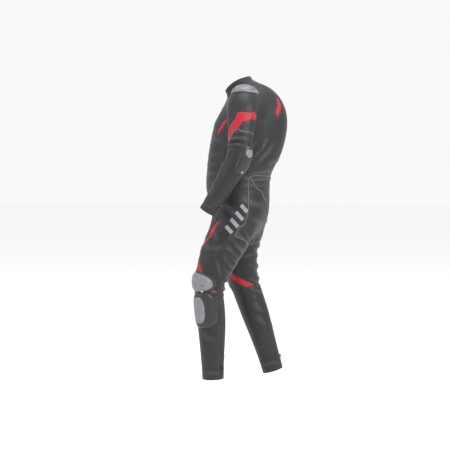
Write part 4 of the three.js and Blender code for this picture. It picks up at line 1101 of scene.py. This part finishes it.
# Node, limb, parts, the height of its middle on the left limb in mm, more turn and more tilt.
armour = [
    ("shoulder_slider", "arm", shoulder_parts, 84, 0, 34),
    ("elbow_slider", "arm", elbow_parts, -254, 0, 0),
    ("knee_cup", "leg", cup_parts, -826, 16, 0),
    ("knee_puck", "leg", puck_parts, -958, 28, 0),
]
armour_pieces = {}
for node, limb, parts, height, more_turn, tilt in armour:
    for side in sides:
        name = f"{node}_{side}"
        limb_name = f"{limb}_{side}"
        sign = -1 if side == "right" else 1
        rise = height * mm - box_middle(f"{node}_left").z
        level = (box_middle(name).z + rise) / mm
        from_middle = box_middle(name) - middle_at(limb_name, level)
        turn = math.degrees(math.atan2(sign * from_middle.x, -from_middle.y)) + more_turn
        way = turned(limb_name, turn)
        centre, _ = on_cloth(limb_name, turn, level)
        outward = way * math.cos(math.radians(tilt)) + Vector((0, 0, math.sin(math.radians(tilt))))
        along = middle_at(limb_name, level - 25) - middle_at(limb_name, level + 25)
        down = (along - outward * along.dot(outward)).normalized()
        piece = joined(f"armour_{name}", parts())
        lay_on_cloth(piece, centre, outward, down, side == "right")
        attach(piece, "suit")
        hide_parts(name)
        armour_pieces[name] = piece
        print(f"{piece.name}: turn {turn:.0f}, height {level:.0f}, {len(piece.data.polygons)} faces")

# %% [markdown]
# All sewn lines follow the same runs: the seams, as points in order. The edges between each pair of
# panels are joined end to end into such runs, and so are the five open edges.

# %% Put the seam points in order
def runs_of(edges):
    """Edges as pairs of point numbers, joined end to end."""
    near = {}
    for a, b in edges:
        near.setdefault(a, []).append(b)
        near.setdefault(b, []).append(a)
    ends = {v for v in near if len(near[v]) != 2}
    made = []
    for start in sorted(ends) + sorted(near):
        while near[start]:
            run = [start]
            while near[run[-1]]:
                here = run[-1]
                after = near[here].pop()
                near[after].remove(here)
                run.append(after)
                if after in ends:
                    break
            made.append(run)
    return made


seam_runs = []
inner_seams = np.flatnonzero(is_seam & ~is_open)
for pair in sorted(set(zip(least[inner_seams], most[inner_seams]))):
    mine = inner_seams[(least[inner_seams] == pair[0]) & (most[inner_seams] == pair[1])]
    names = (panel_names[pair[0]], panel_names[pair[1]])
    seam_runs += [(names, run) for run in runs_of(edge_ends[mine].tolist())]
open_runs = runs_of(edge_ends[is_open].tolist())
print(len(seam_runs), "seam runs,", len(open_runs), "open edges")

# %% [markdown]
# A seam in a race suit is stitched twice, once on each side of it. One stitch is a short bead with
# only eight faces, because thousands are needed. The beads lie a few millimetres from the seam, with
# small gaps between them, and each is turned along the run.

# %% The stitches
stitch = {"pitch": 5.0 * mm, "half": (1.7 * mm, 0.55 * mm, 0.5 * mm), "beside": 3.4 * mm}
bead_faces = np.array([
    (0, 2, 4), (2, 1, 4), (1, 3, 4), (3, 0, 4), (2, 0, 5), (1, 2, 5), (3, 1, 5), (0, 3, 5),
])


def resampled(run, pitch):
    """Points along a run, a pitch apart, with the run's direction at each."""
    line = shaped[run]
    steps = np.linalg.norm(np.diff(line, axis=0), axis=1)
    far = np.concatenate([[0], np.cumsum(steps)])
    places = np.arange(pitch / 2, far[-1], pitch)
    at = np.stack([np.interp(places, far, line[:, i]) for i in range(3)], axis=1)
    ahead_by = np.stack([np.interp(places + pitch, far, line[:, i]) for i in range(3)], axis=1)
    behind = np.stack([np.interp(places - pitch, far, line[:, i]) for i in range(3)], axis=1)
    return at, ahead_by - behind


def beads(rows, half):
    """One mesh's points and faces for many beads, each at a point with a direction and a normal."""
    made_points, made_faces = [], []
    for at, way, normal in rows:
        side_way = normal.cross(way).normalized()
        start = len(made_points)
        for axis, size in ((way.normalized(), half[0]), (side_way, half[1]), (normal, half[2])):
            made_points += [at + axis * size, at - axis * size]
        made_faces += (bead_faces + start).tolist()
    return made_points, made_faces


def new_piece(name, made_points, made_faces, finish):
    mesh = bpy.data.meshes.new(name)
    mesh.from_pydata([tuple(p) for p in made_points], [], made_faces)
    mesh.materials.append(finish)
    piece = bpy.data.objects.new(name, mesh)
    bpy.context.scene.collection.objects.link(piece)
    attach(piece, "suit")
    return piece


def side_of(names):
    """The side of the suit that a seam between two panels belongs to."""
    for side in sides:
        if any(side in name for name in names):
            return side
    return "middle"


print("a stitch is", round(2 * stitch["half"][0] / mm, 1), "mm long")

# %% [markdown]
# The rows follow every seam but the very short ones. The left side's stitches are one piece, the
# right side's another, and the middle's a third, so that no piece has too many faces.

# %% Sew the seams
shortest_run = 8  # points
stitch_lift = 0.15 * mm
stitched = {}
for names, run in seam_runs:
    if len(run) < shortest_run:
        continue
    group = side_of(names)
    for at, way in zip(*resampled(run, stitch["pitch"])):
        _, normal, _, _ = skin.find_nearest(at)
        beside = normal.cross(Vector(way)).normalized() * stitch["beside"]
        for place in (Vector(at) + beside, Vector(at) - beside):
            on, out, _, _ = skin.find_nearest(place)
            stitched.setdefault(group, []).append((on + out * stitch_lift, Vector(way), out))
for group, rows in stitched.items():
    bead_points, faces = beads(rows, stitch["half"])
    new_piece(f"stitches_{group}", bead_points, faces, finishes["thread"])
    print(f"stitches_{group}: {len(rows)} stitches")

# %% [markdown]
# Some seams show a light line, a highlight along the seam that is painted here as a tube of pale grey
# piping, and every open edge is bound with a soft roll. Both are tubes along the runs: the run's
# points are the middle, and a ring of points goes round each.

# %% Piping and bindings
def tube(centres, wide, high, around=6, closed=False):
    """Points and faces of a tube along centres on the cloth."""
    count = len(centres)
    made_points, made_faces = [], []
    for i, centre in enumerate(centres):
        before = centres[(i - 1) % count if closed else max(i - 1, 0)]
        after = centres[(i + 1) % count if closed else min(i + 1, count - 1)]
        _, out, _, _ = skin.find_nearest(centre)
        beside = out.cross(Vector(after) - Vector(before)).normalized()
        for k in range(around):
            a = 2 * math.pi * k / around
            off = beside * (wide * math.cos(a)) + out * (high * math.sin(a))
            made_points.append(Vector(centre) + off)
    for i in range(count if closed else count - 1):
        for k in range(around):
            a, b = i * around + k, i * around + (k + 1) % around
            c, d = ((i + 1) % count) * around + k, ((i + 1) % count) * around + (k + 1) % around
            made_faces.append((a, b, d, c))
    if not closed:
        last = (count - 1) * around
        made_faces += [tuple(range(around))[::-1], tuple(range(last, last + around))]
    return made_points, made_faces


# Seams whose light line, a highlight, is painted as a pale grey tube of piping.
piped = {
    ("seat", "thigh_back"), ("seat", "thigh_side"), ("back_yoke", "seat"), ("back_yoke", "waist_band"),
    ("sleeve_cap", "sleeve_outer"), ("sleeve_band", "sleeve_outer"), ("sleeve_inner", "sleeve_outer"),
}
piping_round = 1.1 * mm
binding_round = 2.2 * mm
piping_points, piping_faces = [], []
for names, run in seam_runs:
    kinds = tuple(sorted(n.removesuffix("_left").removesuffix("_right") for n in names))
    if kinds in piped and len(run) > shortest_run:
        centres, _ = resampled(run, 4 * mm)
        more_points, more_faces = tube(centres.tolist(), piping_round, piping_round)
        piping_faces += [tuple(len(piping_points) + i for i in face) for face in more_faces]
        piping_points += more_points
new_piece("highlight_piping", piping_points, piping_faces, finishes["highlight_piping"])
for number, run in enumerate(open_runs):
    ring = shaped[run[:-1]][::2].tolist()
    roll_points, faces = tube(ring, binding_round, binding_round, closed=True)
    new_piece(f"binding_{number}", roll_points, faces, finishes["tape"])
print(len(piping_faces), "faces of piping,", len(open_runs), "bindings")

# %% [markdown]
# Each zip runs in a straight line along its limb, from its slider. The tape is a wide low tube on
# the cloth, and the two rows of teeth are beads set across it, so their ends meet in the middle.

# %% The zips
# Slider, limb and how far the teeth run from the slider, in mm; up the limb is positive.
zip_runs = {
    "front": ("trunk_left", -440), "cuff_left": ("arm_left", 120), "cuff_right": ("arm_right", 120),
    "calf_left": ("leg_left", 90), "calf_right": ("leg_right", 90),
}
tape_half = (6 * mm, 0.6 * mm)
tooth_pitch = 2.6 * mm
tooth_half = (1.6 * mm, 0.9 * mm, 0.7 * mm)
tooth_beside = 1.5 * mm
tooth_lift = 0.9 * mm
for name, (limb, far) in zip_runs.items():
    seat = box_middle(f"zip_slider_{name}")
    level = seat.z / mm
    away = seat - middle_at(limb, level)
    turn = math.degrees(math.atan2(-away.x if limb.endswith("right") else away.x, -away.y))
    run = run_on_cloth(limb, [(turn, level), (turn, level + far)], tooth_pitch)
    line = [skin.find_nearest(point) for point, _ in run]
    tape_points, faces = tube([place[0] for place in line][::2], *tape_half)
    new_piece(f"zip_tape_{name}", tape_points, faces, finishes["tape"])
    rows = []
    for (here, out, _, _), (after, _, _, _) in zip(line, line[1:]):
        way = after - here
        beside = out.cross(way).normalized()
        rows += [(here + beside * (k * tooth_beside) + out * tooth_lift, beside, out) for k in (-1, 1)]
    tooth_points, faces = beads(rows, tooth_half)
    new_piece(f"zip_teeth_{name}", tooth_points, faces, finishes["zip_metal"])
    print(f"zip_teeth_{name}: {len(rows)} teeth")

# %% [markdown]
# Plain pale bars on the thigh stand in for decoration. Each is a thin patch in the piping's pale
# grey, laid on by rays from the camera's place, so it follows the folds of the thigh. The suit's
# other thigh has the same bars at the same turns and heights.

# %% Bars on the thighs
def seen_at(px, py):
    """The cloth's point and normal behind a place in the 450 by 450 frame."""
    reach = camera_data.sensor_width / camera_data.lens / 450
    way = camera.rotation_quaternion @ Vector(((px - 225) * reach, (225 - py) * reach, -1))
    hit, normal, _, _ = skin.ray_cast(camera.location, way.normalized())
    return hit, normal


# Each bar's two ends in the frame.
bars = [
    ((226, 226), (232, 233)), ((231, 219), (238, 227)), ((236, 212), (243, 220)), ((241, 205), (247, 212)),
]
bar_lift = 0.9 * mm
bar_points, bar_faces = [], []
for (x0, y0), (x1, y1) in bars:
    first = len(bar_points)
    for i in range(13):
        for k in range(4):
            px = x0 + (x1 - x0) * i / 12 + (k - 1.5) * 0.9
            py = y0 + (y1 - y0) * i / 12 - (k - 1.5) * 0.9
            hit, normal = seen_at(px, py)
            bar_points.append(hit + normal * bar_lift)
    bar_faces += [
        (first + i * 4 + k, first + i * 4 + k + 1, first + i * 4 + k + 5, first + i * 4 + k + 4)
        for i in range(12) for k in range(3)
    ]
leg_places = []
for point in bar_points:
    away = point - middle_at("leg_left", point.z / mm)
    leg_places.append((math.degrees(math.atan2(away.x, -away.y)), point.z / mm))
other_points = []
for turn, level in leg_places:
    hit, normal, _, _ = skin.ray_cast(middle_at("leg_right", level), turned("leg_right", turn))
    other_points.append(hit + normal * bar_lift)
for side, places in (("left", bar_points), ("right", other_points)):
    bar = new_piece(f"thigh_bars_{side}", places, bar_faces, finishes["highlight_piping"])
    body = bar.modifiers.new("body", "SOLIDIFY")
    body.thickness = 1.0 * mm
    bpy.context.view_layer.objects.active = bar
    bpy.ops.object.modifier_apply(modifier="body")
print(len(bars), "bars on each thigh")

# %% [markdown]
# Each panel's flat size, the piece of cloth it's cut to, is printed with its area, and the areas are
# summed. A panel that winds too much to fill its rectangle is taken as a straight strip with the
# same area and outline. Each panel's neighbours, to which it is sewn, are gathered.

neighbours = {name: set() for name in panel_names}
outline = {name: 0.0 for name in panel_names}
for names, run in seam_runs:
    long = float(np.linalg.norm(np.diff(points[run], axis=0), axis=1).sum())
    for name, other in (names, names[::-1]):
        neighbours[name].add(f"panel_{other}")
        outline[name] += long
whole_cut = 0.0
for name, panel in panels.items():
    width, length = cuts[name]["flat"]
    area = cuts[name]["area"]
    if area < 0.32 * width * length:
        half_round = outline[name] / 2
        length = (half_round + math.sqrt(max(half_round ** 2 - 4 * area, 0))) / 2
        width = area / length
    fill = min(area, width * length)
    whole_cut += fill
    print(f"{name}: cut {width / mm:.0f} x {length / mm:.0f} mm, {fill * 1e4:.0f} cm2")
print(f"the whole cut is {whole_cut:.2f} m2")
